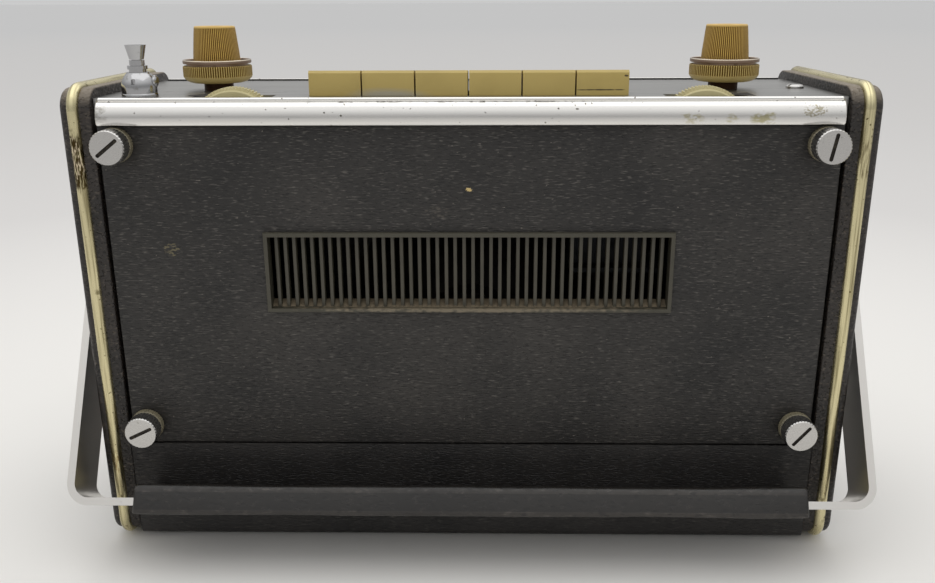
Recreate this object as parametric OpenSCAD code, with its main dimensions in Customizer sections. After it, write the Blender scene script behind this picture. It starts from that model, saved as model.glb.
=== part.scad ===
// Portable battery radio in a suitcase body: leatherette cheeks with metal beads, a screwed rear cover,
// a metal control deck on top, a folding carrying handle and a telescopic aerial.
// Millimetres, +Z up, +X to the right when the rear cover is seen from behind, +Y from the rear to the front.

/* [Case] */
// Width over the two cheeks
case_w = 302; // [280:1:330]
// Depth of the cheeks, from the rear face to the front edge
case_d = 92; // [86:1:104]
// Height of the cheeks
case_h = 185.5; // [176:0.5:200]
// Thickness of each cheek
cheek_t = 12; // [11:0.5:18]
// Corner radius of the cheeks
cheek_r = 8; // [6:0.5:12]
// Thickness of the wooden boards of the carcass
board_t = 6; // [5:0.5:8]
// Radius of the carcass's lower edges
base_r = 3; // [0.5:0.5:6]
// How far the front panel lies behind the front edge of the cheeks
front_inset = 1.5; // [0.5:0.25:4]
// How far the rubber feet stand below the beads
foot_h = 0.5; // [0.3:0.1:3]
// Diameter of the rubber feet
foot_d = 14; // [10:0.5:20]
// Distance of the feet from the cheeks and from the edges of the base
foot_inset = 16; // [12:1:24]

/* [Beads] */
// Width of the metal bead round each cheek
bead_w = 4.5; // [4:0.25:7]
// Height of the bead's crown above the leatherette
bead_proud = 1.8; // [0.8:0.1:2]
// Depth of the bead's seat in the cheek
bead_seat = 1.5; // [1:0.1:2.5]
// Distance from the cheek's outer face to the bead
bead_edge = 3.1; // [2:0.1:4]

/* [Rear cover] */
// Height of the fixed rear wall under the cover
rear_wall_h = 42.8; // [38:0.2:46]
// Thickness of the rear cover
cover_t = 4; // [3:0.25:6]
// Gap between the cover and the cheeks
cover_gap = 1.3; // [0.3:0.1:2]
// Outer width of the vent grille
vent_w = 156.5; // [120:0.5:180]
// Outer height of the vent grille
vent_h = 31.75; // [24:0.25:40]
// Distance from the cover's top edge down to the vent grille
vent_drop = 40.3; // [34:0.1:46]
// How far the vent frame stands out of the cover
vent_proud = 2; // [1:0.25:4]
// Width of the vent frame's lip on the cover
vent_lip = 0.7; // [0.5:0.1:2]
// Wall of the vent frame inside the cover
vent_wall = 0.9; // [0.8:0.1:1.5]
// Width of one vent slat
slat_w = 1.4; // [1:0.1:2]
// Number of vent slats
slat_count = 44; // [30:1:50]

/* [Cover screws] */
// Diameter of the thumb screw heads
screw_head_d = 13; // [10:0.25:15]
// Height of the thumb screw heads
screw_head_h = 6.4; // [4:0.1:8]
// Diameter of the screw shanks
screw_d = 4; // [3:0.25:5]
// Length of the screw shanks under the head
screw_l = 12; // [10.5:0.5:16]
// Width of the slot in a screw head
slot_w = 1.6; // [1:0.1:2]
// Depth of the slot in a screw head
slot_depth = 1.4; // [0.8:0.1:2.5]
// Diameter of the collars under the heads
collar_d = 13.2; // [11:0.1:15]
// Height of the collars
collar_h = 3; // [2:0.1:4]
// Distance of the cover screws from the cheeks
screw_inset = 8; // [5.5:0.1:11]
// Distance of the upper screws from the cover's top edge
screw_top_inset = 7; // [6.7:0.1:12]
// Distance of the lower screws from the cover's bottom edge
screw_low_inset = 8.3; // [7:0.1:12]

/* [Deck] */
// Depth of the deck's top face below the top of the cheeks
deck_drop = 3.7; // [2:0.1:6]
// Thickness of the deck plate
deck_t = 1.5; // [1:0.1:2.5]
// Height of the trim mouldings
trim_h = 10.2; // [9:0.1:14]
// How much shorter than the cover the trim mouldings are at each end
trim_inset = 1.2; // [0:0.1:2]
// How far the rear trim stands out of the cover
trim_proud = 3.2; // [2:0.1:4]
// Radius of the rear trim's rounded face
trim_round = 8; // [7:0.25:12]
// Height of the widest part of the rear trim above its lower edge
trim_belly = 2.1; // [1.5:0.1:4]
// Depth of the rear trim behind the cover's face
trim_t = 3; // [2.5:0.1:4]
// Diameter of the lip along the trims
lip_d = 2.6; // [2:0.1:3]
// Rise of the lip above the deck
lip_rise = 0.8; // [0.4:0.1:1.5]
// Depth of the front trim
front_trim_w = 8.5; // [7:0.25:9.5]
// Head diameter of the deck screws
deck_head_d = 7; // [5:0.25:8]
// Head height of the deck screws
deck_head_h = 1.6; // [1:0.1:2.5]
// Shank diameter of the deck screws
deck_screw_d = 3; // [2.5:0.25:4]
// Distance of the deck screws from the cheeks
deck_screw_inset = 9; // [5.5:0.25:11]

/* [Keys] */
// Spacing of the six push keys
key_pitch = 20; // [17:0.25:20.5]
// Gap between two keys
key_gap = 0.6; // [0.3:0.05:1]
// Length of a key from rear to front
key_l = 20; // [16:0.5:24]
// Distance from the rear plane to the keys
key_y = 10; // [8.5:0.25:12]
// Height of the keys above the deck
key_rise = 9.2; // [7:0.1:11]
// Fall of a key's top towards the front
key_fall = 1.4; // [0.5:0.1:3]
// Chamfer along a key's upper edges
key_edge = 0.9; // [0.4:0.1:1.5]
// Travel of a key
key_travel = 4.5; // [3:0.25:5]
// Width of the stop lip round the foot of a key
key_lip_w = 1.2; // [0.8:0.1:1.5]
// Thickness of the stop lip
key_lip_t = 1.7; // [1:0.1:2.5]
// Diameter of a key's stem
stem_d = 5; // [4:0.25:6]
// Length of a key spring when its key is pressed home
spring_pressed_l = 11; // [9:0.25:11.25]
// Wall of the key frame
key_frame_t = 2; // [1.5:0.25:3]
// Outer diameter of a key spring
key_spring_d = 8; // [7.5:0.25:10]
// Wire thickness of a key spring
key_spring_t = 0.8; // [0.5:0.1:1]

/* [Knobs] */
// Distance of the knob axes from the middle
knob_x = 101.25; // [96:0.25:106]
// Distance of the knob axes from the rear plane
knob_y = 38; // [36:0.5:44]
// Diameter of the bush under each knob pair
bush_d = 11.5; // [10:0.25:13]
// Rise of the bush above the deck
bush_rise = 2.7; // [1.5:0.1:5]
// Diameter of the lower knobs
low_knob_d = 27; // [24:0.5:30]
// Height of the lower knobs
low_knob_h = 6.6; // [5:0.1:9]
// Chamfer under the lower knobs
low_knob_edge = 1.4; // [0.5:0.1:2.5]
// Diameter of the metal rings on the lower knobs
ring_d = 26.8; // [23:0.2:29]
// Height of the metal rings
ring_h = 2.3; // [1.5:0.1:3]
// Diameter of the lower knob's boss inside the ring
ring_bore_d = 19.8; // [17:0.2:21]
// Diameter of the upper knobs at their foot
top_knob_d = 18.4; // [16:0.1:19.5]
// Diameter of the upper knobs at the top
top_knob_top_d = 15.9; // [14:0.1:18]
// Height of the upper knobs
top_knob_h = 12.5; // [9:0.25:15]
// Diameter of the dish in the top of an upper knob
dish_d = 12.4; // [9:0.2:13.5]
// Depth of the dish
dish_depth = 1.2; // [0.5:0.1:2]
// Diameter of the outer shafts
outer_shaft_d = 6; // [5:0.25:7]
// Diameter of the inner shafts
inner_shaft_d = 3; // [2.5:0.25:3.5]
// Diameter of the volume and tone control's can
control_d = 24; // [20:0.5:26]
// Height of the volume and tone control's can
control_h = 16; // [12:0.5:20]

/* [Thumbwheels] */
// Distance of the thumbwheels from the middle
wheel_x = 88; // [84:0.5:92]
// Distance of the thumbwheels' middle from the rear plane
wheel_y = 10; // [9.8:0.1:12]
// Diameter of the thumbwheels
wheel_d = 34.6; // [28:0.2:36]
// Width of the thumbwheels
wheel_w = 7.6; // [5:0.2:7.8]
// How far the thumbwheels stand out of the deck
wheel_rise = 3.5; // [2:0.1:5]
// Length of the slot in the deck for a thumbwheel
wheel_slot = 30; // [28:0.5:32]
// Diameter of a thumbwheel's axle
axle_d = 4; // [3:0.25:5]
// Thickness of the ears that carry the axle
ear_t = 1.2; // [1:0.1:1.4]
// Width of the ears
ear_w = 14; // [10:0.5:18]
// Diameter of the control behind a thumbwheel
wheel_pot_d = 20; // [16:0.5:21]
// Depth of the control behind a thumbwheel
wheel_pot_t = 7; // [5:0.25:8]

/* [Aerial] */
// Distance of the aerial from the left cheek
aerial_inset = 15.5; // [12.5:0.25:17]
// Distance of the aerial from the rear plane
aerial_y = 10.2; // [9.9:0.1:12]
// Diameter of the aerial's dome
dome_d = 13.5; // [11:0.25:14]
// Height of the dome's straight foot
dome_foot = 3; // [1.5:0.1:5]
// Outer diameter of the guide tube in the case
guide_d = 8.4; // [8:0.1:9]
// Diameter of the guide tube's flange under the deck
guide_flange_d = 10.4; // [9.5:0.1:10.6]
// Thickness of the guide tube's flange
guide_flange_t = 2; // [1:0.25:3]
// Height of the guide tube's lower end above the base
guide_clear = 44; // [40:0.5:60]
// Outer diameter of the lower mast section
mast_d = 6.4; // [6:0.1:6.8]
// Wall of each tubular mast section
mast_wall = 0.65; // [0.5:0.05:0.75]
// Diameter of the rim on the lower mast section
mast_rim_d = 7.4; // [7:0.1:8]
// Height of the rim on the lower mast section
mast_rim_h = 1.2; // [0.8:0.1:2]
// Diameter of the rim on the middle mast section
neck_d = 5.6; // [5.2:0.1:6.2]
// Height of the rim on the middle mast section
neck_h = 1.7; // [1:0.1:3]
// Diameter of the tip at its foot
tip_low_d = 5.3; // [4.5:0.1:6]
// Diameter of the tip at its top
tip_d = 7.8; // [6:0.1:9]
// Height of the tip
tip_h = 5.2; // [4:0.1:8]

/* [Handle] */
// Gap between a cheek and the handle's strap
handle_gap = 4.5; // [3:0.25:8]
// Thickness of the strap
strap_t = 3; // [2:0.25:4]
// Width of the strap
strap_w = 21.5; // [12:0.5:24]
// Outer bend radius of the strap
strap_bend = 9; // [8:0.5:14]
// Distance from the pivots to the middle of the grip
arm_l = 116.5; // [110:0.5:120]
// Height of the pivots above the base
pivot_h = 123.4; // [118:0.2:128]
// Diameter of the pivot pins
pivot_d = 8; // [6:0.25:9]
// Diameter of the pivot bosses
boss_d = 20; // [16:0.5:24]
// Diameter of the pivot heads
pivot_head_d = 15; // [13:0.5:18]
// Thickness of the pivot heads
pivot_head_t = 2.5; // [1.5:0.1:4]
// Depth of the pivots' stems in the cheeks
pivot_stem_l = 9; // [6:0.5:11]
// Padding of the grip beyond each edge of the strap
grip_wall = 2; // [1.5:0.25:4]
// Height of the grip along the arms
grip_h = 11.5; // [11:0.5:18]
// Corner radius of the grip
grip_r = 3.5; // [2:0.25:5]
// How much shorter than the cover the grip is at each end
grip_inset = 6.25; // [0.5:0.25:8]
// How far the middle of the grip lies above the middle of the strap's bar
grip_rise = 1; // [0:0.25:2]

/* [Front] */
// Thickness of the loudspeaker grille's frame
grille_t = 4; // [3:0.25:5]
// Border of the loudspeaker grille
grille_border = 7; // [5:0.5:10]
// Spacing of the grille's bars
bar_pitch = 4.2; // [3.5:0.1:6]
// Height of a grille bar
bar_h = 2.4; // [1.5:0.1:3]
// Thickness of a grille bar
bar_t = 2; // [1:0.1:2.5]
// Thickness of the cloth behind the grille
cloth_t = 0.6; // [0.4:0.1:1]
// Height of the dial panel
dial_h = 28.2; // [26:0.2:32]
// Thickness of the dial bezel
bezel_t = 3; // [2:0.25:4]
// Width of the dial window
window_w = 212; // [190:1:214]
// Height of the dial window
window_h = 16; // [12:0.5:18]
// Thickness of the window pane
pane_t = 1.5; // [1:0.1:2]
// Overlap of the pane behind the bezel
pane_lap = 2.5; // [1.5:0.25:2.5]
// Thickness of the scale plate
scale_t = 1; // [0.8:0.1:2]

/* [Loudspeaker] */
// Diameter of the loudspeaker's flange
speaker_d = 122; // [110:1:124]
// Height of the loudspeaker's axis above the base
speaker_h = 72; // [70:0.5:74]
// Width of the flange
flange_w = 8; // [6:0.5:10]
// Thickness of the flange
flange_t = 3; // [2:0.25:4]
// Depth of the basket behind the flange
basket_depth = 24; // [18:0.5:26]
// Wall of the basket and the cone
basket_t = 1.5; // [1:0.1:2]
// Diameter of the magnet
magnet_d = 46; // [40:1:50]
// Depth of the magnet
magnet_t = 15; // [10:0.5:18]
// Diameter of the cone's dust cap
dust_cap_d = 26; // [20:0.5:30]

/* [Tuning drive] */
// Radius of the tuning drum at the cord
drum_r = 30; // [26:0.5:31]
// Thickness of the drum
drum_t = 4; // [3.4:0.1:5]
// Distance from the tuning knob's axis back to the drum's axis, along X
drum_shift = 44; // [42:0.5:48]
// Radius of the tuning spindle at the cord
spindle_r = 4; // [3.9:0.05:4.5]
// Radius of the corner pulleys at the cord
pulley_r = 3; // [2.6:0.1:3.2]
// Distance of the corner pulleys from the cheeks
pulley_inset = 19; // [14:0.5:21]
// Diameter of the drive cord
cord_d = 0.8; // [0.6:0.1:1]
// Height of the cord above the dial panel's lower edge
cord_rise = 3.4; // [3:0.1:3.8]
// Thickness of the pointer
pointer_t = 0.8; // [0.6:0.1:1]
// Width of the pointer
pointer_w = 1.2; // [0.8:0.1:2]

/* [Inside] */
// Thickness of the sheet metal brackets
bracket_t = 2; // [1.5:0.1:2.5]
// Height of the chassis shelf above the base
shelf_h = 112; // [104:0.5:114]
// Length of the chassis shelf
shelf_l = 98; // [92:0.5:99]
// Height of the tuning capacitor
capacitor_h = 28; // [22:0.5:30]
// Width of the tuning capacitor
capacitor_w = 30; // [24:0.5:34]
// Thickness of the circuit board
pcb_t = 1.6; // [1.2:0.1:2.4]
// Depth of the circuit board from rear to front
pcb_w = 48; // [40:1:50]
// Height of the circuit board
pcb_h = 88; // [70:1:96]
// Stand-off of the circuit board from the left cheek
pcb_gap = 8; // [5:0.5:10]
// Diameter of the ferrite rod
rod_d = 8; // [7:0.25:8.5]
// Length of the ferrite rod
rod_l = 130; // [112:1:136]
// Diameter of a battery cell
cell_d = 33.5; // [32.5:0.1:34]
// Length of a battery cell
cell_l = 61.5; // [56:0.5:62]
// Wall of the battery tray
tray_t = 1.5; // [1:0.1:2]
// Height of the battery tray's walls
tray_h = 22; // [16:0.5:28]

/* [Fits] */
// Radial clearance of a shaft in its bore
run_fit = 0.05; // [0.02:0.01:0.08]
// Gap between neighbouring pieces that don't touch
seat_gap = 0.3; // [0.2:0.05:0.4]

/* [Hidden] */
$fn = 64;
key_count = 6;
cell_count = 4;
// Overshoot of a cut past the face that it opens
over = 1;
// Overlap of two shapes that are joined into one piece
lap = 0.5;

// Case faces
cheek_in = case_w / 2 - cheek_t;
base_z = foot_h + bead_proud;
floor_z = base_z + board_t;
top_z = base_z + case_h;
panel_x = cheek_in - cover_gap;
trim_x = panel_x - trim_inset;
front_y = case_d - front_inset;
baffle_y = front_y - grille_t - board_t;
crown_r = (bead_proud * bead_proud + bead_w * bead_w / 4) / (2 * bead_proud);

// Deck and trim levels
deck_z = top_z - deck_drop;
deck_low = deck_z - deck_t;
trim_top = deck_z + lip_rise;
trim_low = trim_top - trim_h;
front_trim_y = front_y - front_trim_w;
deck_x = cheek_in - seat_gap;
lip_out = 1;
lip_y = lip_d / 2 - lip_out;
lip_lap = 0.2;

// Rear cover levels
seam_z = base_z + rear_wall_h;
cover_low = seam_z + seat_gap;
cover_top = trim_low - seat_gap;
vent_top = cover_top - vent_drop;
vent_low = vent_top - vent_h;
vent_in_w = vent_w - 2 * (vent_lip + vent_wall);
vent_in_h = vent_h - 2 * (vent_lip + vent_wall);
slat_pitch = (vent_in_w + slat_w) / (slat_count + 1);
slat_recess = 0.8;
screw_x = cheek_in - screw_inset;
screw_heights = [cover_low + screw_low_inset, cover_top - screw_top_inset];
slot_angles = [26, 38, 50, 80];
bracket_leg = screw_inset + screw_d;
bracket_h = 13;
bracket_reach = 16;

// Deck screws and their brackets
deck_screw_x = cheek_in - deck_screw_inset;
deck_screw_y = knob_y;
deck_bracket_w = 14;
deck_bracket_d = 28;
deck_screw_l = 8;

// Keys
key_bank_w = key_count * key_pitch;
key_top = deck_z + key_rise;
key_lip_top = deck_low - seat_gap;
key_foot = key_lip_top - key_lip_t;
frame_floor = key_foot - key_travel - spring_pressed_l;
frame_low = frame_floor - key_frame_t;
stem_reach = 2.5;
stem_y = key_y + key_l / 2;
rod_clip_wall = 1;
rod_clip_w = 6;
rod_clip_x = key_bank_w / 2 - 2 * rod_clip_w;
rod_place_y = key_y + rod_clip_wall;
rod_z = frame_low - rod_d / 2 - rod_clip_wall;

// Knobs
bush_top = deck_z + bush_rise;
low_knob_z = bush_top + seat_gap;
ring_z = low_knob_z + low_knob_h;
top_knob_z = ring_z + ring_h + seat_gap;
knob_top = top_knob_z + top_knob_h;
shaft_cover = 2;
shaft_head = knob_top - dish_depth - shaft_cover;
control_low = deck_low - control_h;
control_floor = 3;
volume_foot = control_low + control_floor;
tone_foot = control_low + control_h / 2;
bush_flange_d = 20;
bush_flange_t = 3;
tube_bore_d = inner_shaft_d + 2 * run_fit;

// Thumbwheels
axle_z = deck_z + wheel_rise - wheel_d / 2;
ear_front = wheel_y + wheel_w / 2 + seat_gap;
ear_rear = wheel_y - wheel_w / 2 - seat_gap - ear_t;

// Aerial
aerial_x = -(cheek_in - aerial_inset);
dome_top = deck_z + dome_foot + dome_d / 2;
guide_bore_d = mast_d + 2 * run_fit;
mast_bore_d = mast_d - 2 * mast_wall;
middle_d = mast_bore_d - 2 * run_fit;
middle_bore_d = middle_d - 2 * mast_wall;
rod_tip_d = middle_bore_d - 2 * run_fit;
guide_low = floor_z + guide_clear;
mast_step = 1;
rim_z = dome_top + seat_gap;
neck_z = rim_z + mast_rim_h + seat_gap;
tip_z = neck_z + neck_h + seat_gap;

// Handle: at rest the grip's inner corner lies just clear of the rear wall
pivot_y = case_d / 2;
pivot_z = base_z + pivot_h;
strap_in = case_w / 2 + handle_gap;
strap_out = strap_in + strap_t;
grip_x = panel_x - grip_inset;
grip_w = strap_w + 2 * grip_wall;
grip_reach = arm_l - grip_rise;
corner_reach = grip_reach - grip_h / 2 + grip_r;
corner_side = grip_w / 2 - grip_r;
corner_far = norm([corner_reach, corner_side]);
rest_angle = atan2(corner_side, corner_reach) + asin((pivot_y + seat_gap + grip_r) / corner_far);
grip_rear = pivot_y - (grip_reach + grip_h / 2 - grip_r) * sin(rest_angle)
    - corner_side * cos(rest_angle) - grip_r;

// The origin lies under the middle of the whole outline, with the handle at rest
rear_y = -(grip_rear + case_d + bead_proud) / 2;

// Front panel
dial_low = trim_low - dial_h;
grille_rise = 1.5;
grille_low = base_z + grille_rise;
grille_top = dial_low - seat_gap;
baffle_drop = 1.2;
baffle_top = dial_low - baffle_drop;
grille_in_w = 2 * (panel_x - grille_border);
grille_in_h = grille_top - grille_low - 2 * grille_border;
bar_count = floor(grille_in_h / bar_pitch);
bar_step = grille_in_h / bar_count;
rib_x = 44;
rib_w = 3;
bezel_y = front_y - bezel_t;
pane_y = bezel_y - pane_t;
window_drop = 3.5;
window_z = trim_low - window_drop - window_h / 2;
clip_half = 1;
clip_wall = 1;
clip_block = 7;
clip_bore_d = cord_d + 2 * seat_gap;
pointer_y = pane_y - seat_gap - clip_half;
pointer_clear = 0.8;
scale_y = pointer_y - pointer_t / 2 - pointer_clear - scale_t;
scale_margin = 18;
scale_w = window_w + 2 * scale_margin;
scale_boss_d = 7;
scale_boss_x = window_w / 2 + pane_lap + scale_boss_d / 2 + seat_gap;

// Loudspeaker
speaker_z = base_z + speaker_h;
speaker_hole_d = speaker_d - 2 * flange_w;
flange_y = baffle_y - flange_t;
basket_y = flange_y - basket_depth;
cone_d = speaker_hole_d - 2 * seat_gap;
basket_shoulder = 2;
cone_rim_w = 3;
cone_recess = 1;
cone_clear = 6;
cone_depth = basket_depth - cone_clear;

// Tuning drive
cord_z = dial_low + cord_rise;
cord_gap = cord_d / 2 + seat_gap;
drum_x = knob_x - drum_shift;
drum_y = (cover_t + baffle_y) / 2;
pulley_x = cheek_in - pulley_inset;
pulley_y = pointer_y - pulley_r;
pulley_t = 3;
groove_h = cord_d + 2 * seat_gap;
// The straight runs are a little thinner than the arcs that they run into
run_d = 0.95 * cord_d;
run_lap = cord_d / 4;
cord_wheels = [
    [knob_x, knob_y, spindle_r],
    [pulley_x, pulley_y, pulley_r],
    [-pulley_x, pulley_y, pulley_r],
    [drum_x, drum_y, drum_r],
];

// Chassis shelf, tuning capacitor, circuit board
shelf_z = base_z + shelf_h;
shelf_margin = 7;
shelf_d = capacitor_w + 2 * shelf_margin;
trimmer_w = 18;
trimmer_h = 20;
fine_foot = shelf_z + trimmer_h / 2 + seat_gap;
drum_pin_d = 6;
pcb_x = -(cheek_in - pcb_gap);
pcb_rise = 50;
pcb_forward = 4;
pcb_y = pivot_y - pcb_w / 2 + pcb_forward;
pcb_z = floor_z + pcb_rise;
post_d = 6;
post_inset = 5;
part_start = 12;
can_w = 10;
can_h = 13;
can_y = 4;
can_step = 18;
can_count = 4;
electrolytic_d = 8;
electrolytic_y = 26;
electrolytic_step = 15;
electrolytic_count = 5;

// Batteries
tray_l = cell_count * cell_l + 2 * seat_gap;
tray_w = cell_d + 2 * seat_gap;
tray_y = board_t + seat_gap;
cell_y = tray_y + tray_t + tray_w / 2;
cell_z = floor_z + tray_t + cell_d / 2;

// Shared shapes and placements

// Moves a piece measured from the rear plane into the part's frame
module from_rear() {
    translate([0, rear_y, 0]) children();
}

// Draws a right-hand piece and its mirror image on the left
module both_sides() {
    children();
    mirror([1, 0, 0]) children();
}

// Turns an outline in (Y, Z) into a bar along +X
module along_x(length) {
    rotate([90, 0, 90]) linear_extrude(length) children();
}

// A box between two corners
module box(low, high) {
    translate(low) cube(high - low);
}

// A round bar along +Y
module rod_y(x, y, z, d, length) {
    translate([x, y, z]) rotate([-90, 0, 0]) cylinder(d = d, h = length);
}

// A round bar along +X
module rod_x(x, y, z, d, length) {
    translate([x, y, z]) rotate([0, 90, 0]) cylinder(d = d, h = length);
}

// An upright round bar
module rod_up(x, y, z, d, length) {
    translate([x, y, z]) cylinder(d = d, h = length);
}

module rounded_rect(size_a, size_b, r) {
    translate([r, 0]) square([size_a - 2 * r, size_b]);
    translate([0, r]) square([size_a, size_b - 2 * r]);
    for (a = [r, size_a - r], b = [r, size_b - r]) translate([a, b]) circle(r);
}

// Case

// Section of the carcass in (Y, Z): base, rear wall and baffle, rounded where they meet
module cabinet_section() {
    depth = baffle_y + board_t;
    rise = baffle_top - base_z;
    translate([0, base_z]) intersection() {
        union() {
            square([depth, board_t]);
            square([board_t, seam_z - base_z]);
            translate([baffle_y, 0]) square([board_t, rise]);
        }
        rounded_rect(depth, rise + base_r, base_r);
    }
}

module cabinet_frame() {
    color("saddlebrown") from_rear() difference() {
        translate([-cheek_in, 0, 0]) along_x(2 * cheek_in) cabinet_section();
        rod_y(0, baffle_y - over, speaker_z, speaker_hole_d, board_t + 2 * over);
    }
}

// One cheek lying flat: its outline in X and Y, its inner face at 0
module cheek_board() {
    groove_low = cheek_t - bead_edge - bead_w;
    difference() {
        linear_extrude(cheek_t) rounded_rect(case_d, case_h, cheek_r);
        translate([0, 0, groove_low]) linear_extrude(bead_w) difference() {
            translate([-over, -over]) square([case_d + 2 * over, case_h + 2 * over]);
            translate([bead_seat, bead_seat])
                rounded_rect(case_d - 2 * bead_seat, case_h - 2 * bead_seat, cheek_r - bead_seat);
        }
        translate([pivot_y, pivot_h, cheek_t - pivot_stem_l - seat_gap])
            cylinder(d = pivot_d + 2 * run_fit, h = pivot_stem_l + seat_gap + over);
    }
}

module cheek_place() {
    from_rear() translate([cheek_in, 0, base_z]) rotate([90, 0, 90]) children();
}

module left_cheek() {
    color("#3a3330") mirror([1, 0, 0]) cheek_place() cheek_board();
}

module right_cheek() {
    color("#3a3330") cheek_place() cheek_board();
}

// Section of the bead: X points outwards, Y lies across the bead
module bead_section() {
    intersection() {
        translate([bead_proud - crown_r, 0]) circle(crown_r);
        translate([-bead_seat, -bead_w / 2]) square([bead_seat + bead_proud, bead_w]);
    }
    translate([-bead_seat, -bead_w / 2]) square([bead_seat, bead_w]);
}

// The bead as a closed ring round a cheek that lies flat
module bead_ring() {
    long = case_h - 2 * cheek_r;
    short = case_d - 2 * cheek_r;
    starts = [[case_d, cheek_r], [case_d - cheek_r, case_h], [0, case_h - cheek_r], [cheek_r, 0]];
    centres = [
        [case_d - cheek_r, case_h - cheek_r],
        [cheek_r, case_h - cheek_r],
        [cheek_r, cheek_r],
        [case_d - cheek_r, cheek_r],
    ];
    for (i = [0:3]) {
        translate(starts[i]) rotate(90 * i) rotate([-90, 0, 0])
            linear_extrude(i % 2 == 0 ? long : short) bead_section();
        translate(centres[i]) rotate(90 * i)
            rotate_extrude(angle = 90) translate([cheek_r, 0]) bead_section();
    }
}

module cheek_beads() {
    color("#b8a870") both_sides() cheek_place()
        translate([0, 0, cheek_t - bead_edge - bead_w / 2]) bead_ring();
}

module feet() {
    color("#202020") from_rear()
        for (x = [-1, 1] * (cheek_in - foot_inset), y = [foot_inset, case_d - foot_inset])
            rod_up(x, y, 0, foot_d, base_z);
}

// Rear cover with its vent and screws

module rear_cover() {
    color("#353230") from_rear() difference() {
        box([-panel_x, 0, cover_low], [panel_x, cover_t, cover_top]);
        box([-vent_w / 2 + vent_lip - run_fit, -over, vent_low + vent_lip - run_fit],
            [vent_w / 2 - vent_lip + run_fit, cover_t + over, vent_top - vent_lip + run_fit]);
        for (x = [-screw_x, screw_x], z = screw_heights)
            rod_y(x, -over, z, screw_d + 2 * run_fit, cover_t + 2 * over);
    }
}

module vent_grille() {
    inner_low = vent_low + vent_lip + vent_wall;
    color("#4a463c") from_rear() {
        difference() {
            union() {
                box([-vent_w / 2, -vent_proud, vent_low], [vent_w / 2, 0, vent_top]);
                box([-vent_w / 2 + vent_lip, -vent_proud, vent_low + vent_lip],
                    [vent_w / 2 - vent_lip, cover_t, vent_top - vent_lip]);
            }
            box([-vent_in_w / 2, -vent_proud - over, inner_low],
                [vent_in_w / 2, cover_t + over, inner_low + vent_in_h]);
        }
        for (i = [0:slat_count - 1]) translate([(i - (slat_count - 1) / 2) * slat_pitch, 0, 0])
            box([-slat_w / 2, slat_recess, inner_low - vent_wall / 2],
                [slat_w / 2, cover_t, inner_low + vent_in_h + vent_wall / 2]);
    }
}

// Places a piece at each cover screw, with its foot on the cover and its axis pointing out of it
module at_cover_screws() {
    for (side = [-1, 1], row = [0, 1])
        translate([side * screw_x, 0, screw_heights[row]]) rotate([90, 0, 0])
            rotate(slot_angles[side + 1 + row]) children();
}

module cover_screws() {
    color("#b9b7b2") from_rear() at_cover_screws() {
        difference() {
            translate([0, 0, collar_h]) cylinder(d = screw_head_d, h = screw_head_h);
            translate([-screw_head_d / 2 - over, -slot_w / 2, collar_h + screw_head_h - slot_depth])
                cube([screw_head_d + 2 * over, slot_w, slot_depth + over]);
        }
        translate([0, 0, collar_h - screw_l]) cylinder(d = screw_d, h = screw_l);
    }
}

module cover_collars() {
    color("#6e6434") from_rear() at_cover_screws() difference() {
        cylinder(d = collar_d, h = collar_h);
        translate([0, 0, -over]) cylinder(d = screw_d + 2 * run_fit, h = collar_h + 2 * over);
    }
}

// Angle bracket behind the cover at one screw, on the right cheek
module cover_bracket(z) {
    difference() {
        union() {
            box([cheek_in - bracket_leg, cover_t, z - bracket_h / 2],
                [cheek_in, cover_t + bracket_t, z + bracket_h / 2]);
            box([cheek_in - bracket_t, cover_t, z - bracket_h / 2],
                [cheek_in, cover_t + bracket_reach, z + bracket_h / 2]);
        }
        rod_y(screw_x, cover_t - over, z, screw_d + 2 * run_fit, bracket_t + 2 * over);
    }
}

// Angle bracket under the right end of the deck
module deck_bracket() {
    rear = deck_screw_y - deck_bracket_d / 2;
    front = deck_screw_y + deck_bracket_d / 2;
    difference() {
        union() {
            box([cheek_in - deck_bracket_w, rear, deck_low - bracket_t], [cheek_in, front, deck_low]);
            box([cheek_in - bracket_t, rear, deck_low - deck_bracket_w], [cheek_in, front, deck_low]);
        }
        rod_up(deck_screw_x, deck_screw_y, deck_low - bracket_t - over,
            deck_screw_d + 2 * run_fit, bracket_t + 2 * over);
    }
}

// Shelf on the right cheek under the tuning capacitor
module chassis_shelf() {
    rear = drum_y - shelf_d / 2;
    front = drum_y + shelf_d / 2;
    box([cheek_in - shelf_l, rear, shelf_z - bracket_t], [cheek_in, front, shelf_z]);
    box([cheek_in - bracket_t, rear, shelf_z - bracket_t], [cheek_in, front, shelf_z + deck_bracket_w]);
}

module chassis_brackets() {
    color("#8d8f92") from_rear() {
        both_sides() {
            for (z = screw_heights) cover_bracket(z);
            deck_bracket();
        }
        chassis_shelf();
    }
}

// Deck and trims

module rear_trim() {
    color("#c9c8c5") from_rear() translate([-trim_x, 0, 0]) along_x(2 * trim_x) {
        intersection() {
            translate([trim_round - trim_proud, trim_low + trim_belly]) circle(trim_round);
            translate([-trim_proud - over, trim_low])
                square([trim_proud + over + trim_t, trim_h - lip_d + lip_lap]);
        }
        translate([lip_y, trim_top - lip_d / 2]) circle(d = lip_d);
        translate([lip_y, trim_top - lip_d]) square([trim_t - lip_y, lip_d]);
    }
}

module front_trim() {
    color("#c9c8c5") from_rear() translate([-trim_x, 0, 0]) along_x(2 * trim_x) {
        intersection() {
            translate([front_y - trim_h, trim_low]) circle(trim_h);
            translate([front_trim_y, trim_low]) square([front_trim_w, trim_h]);
        }
        translate([front_trim_y + lip_d / 2, trim_top - lip_d / 2]) circle(d = lip_d);
        translate([front_trim_y, trim_low]) square([lip_d / 2, trim_h - lip_d / 2]);
    }
}

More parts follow.
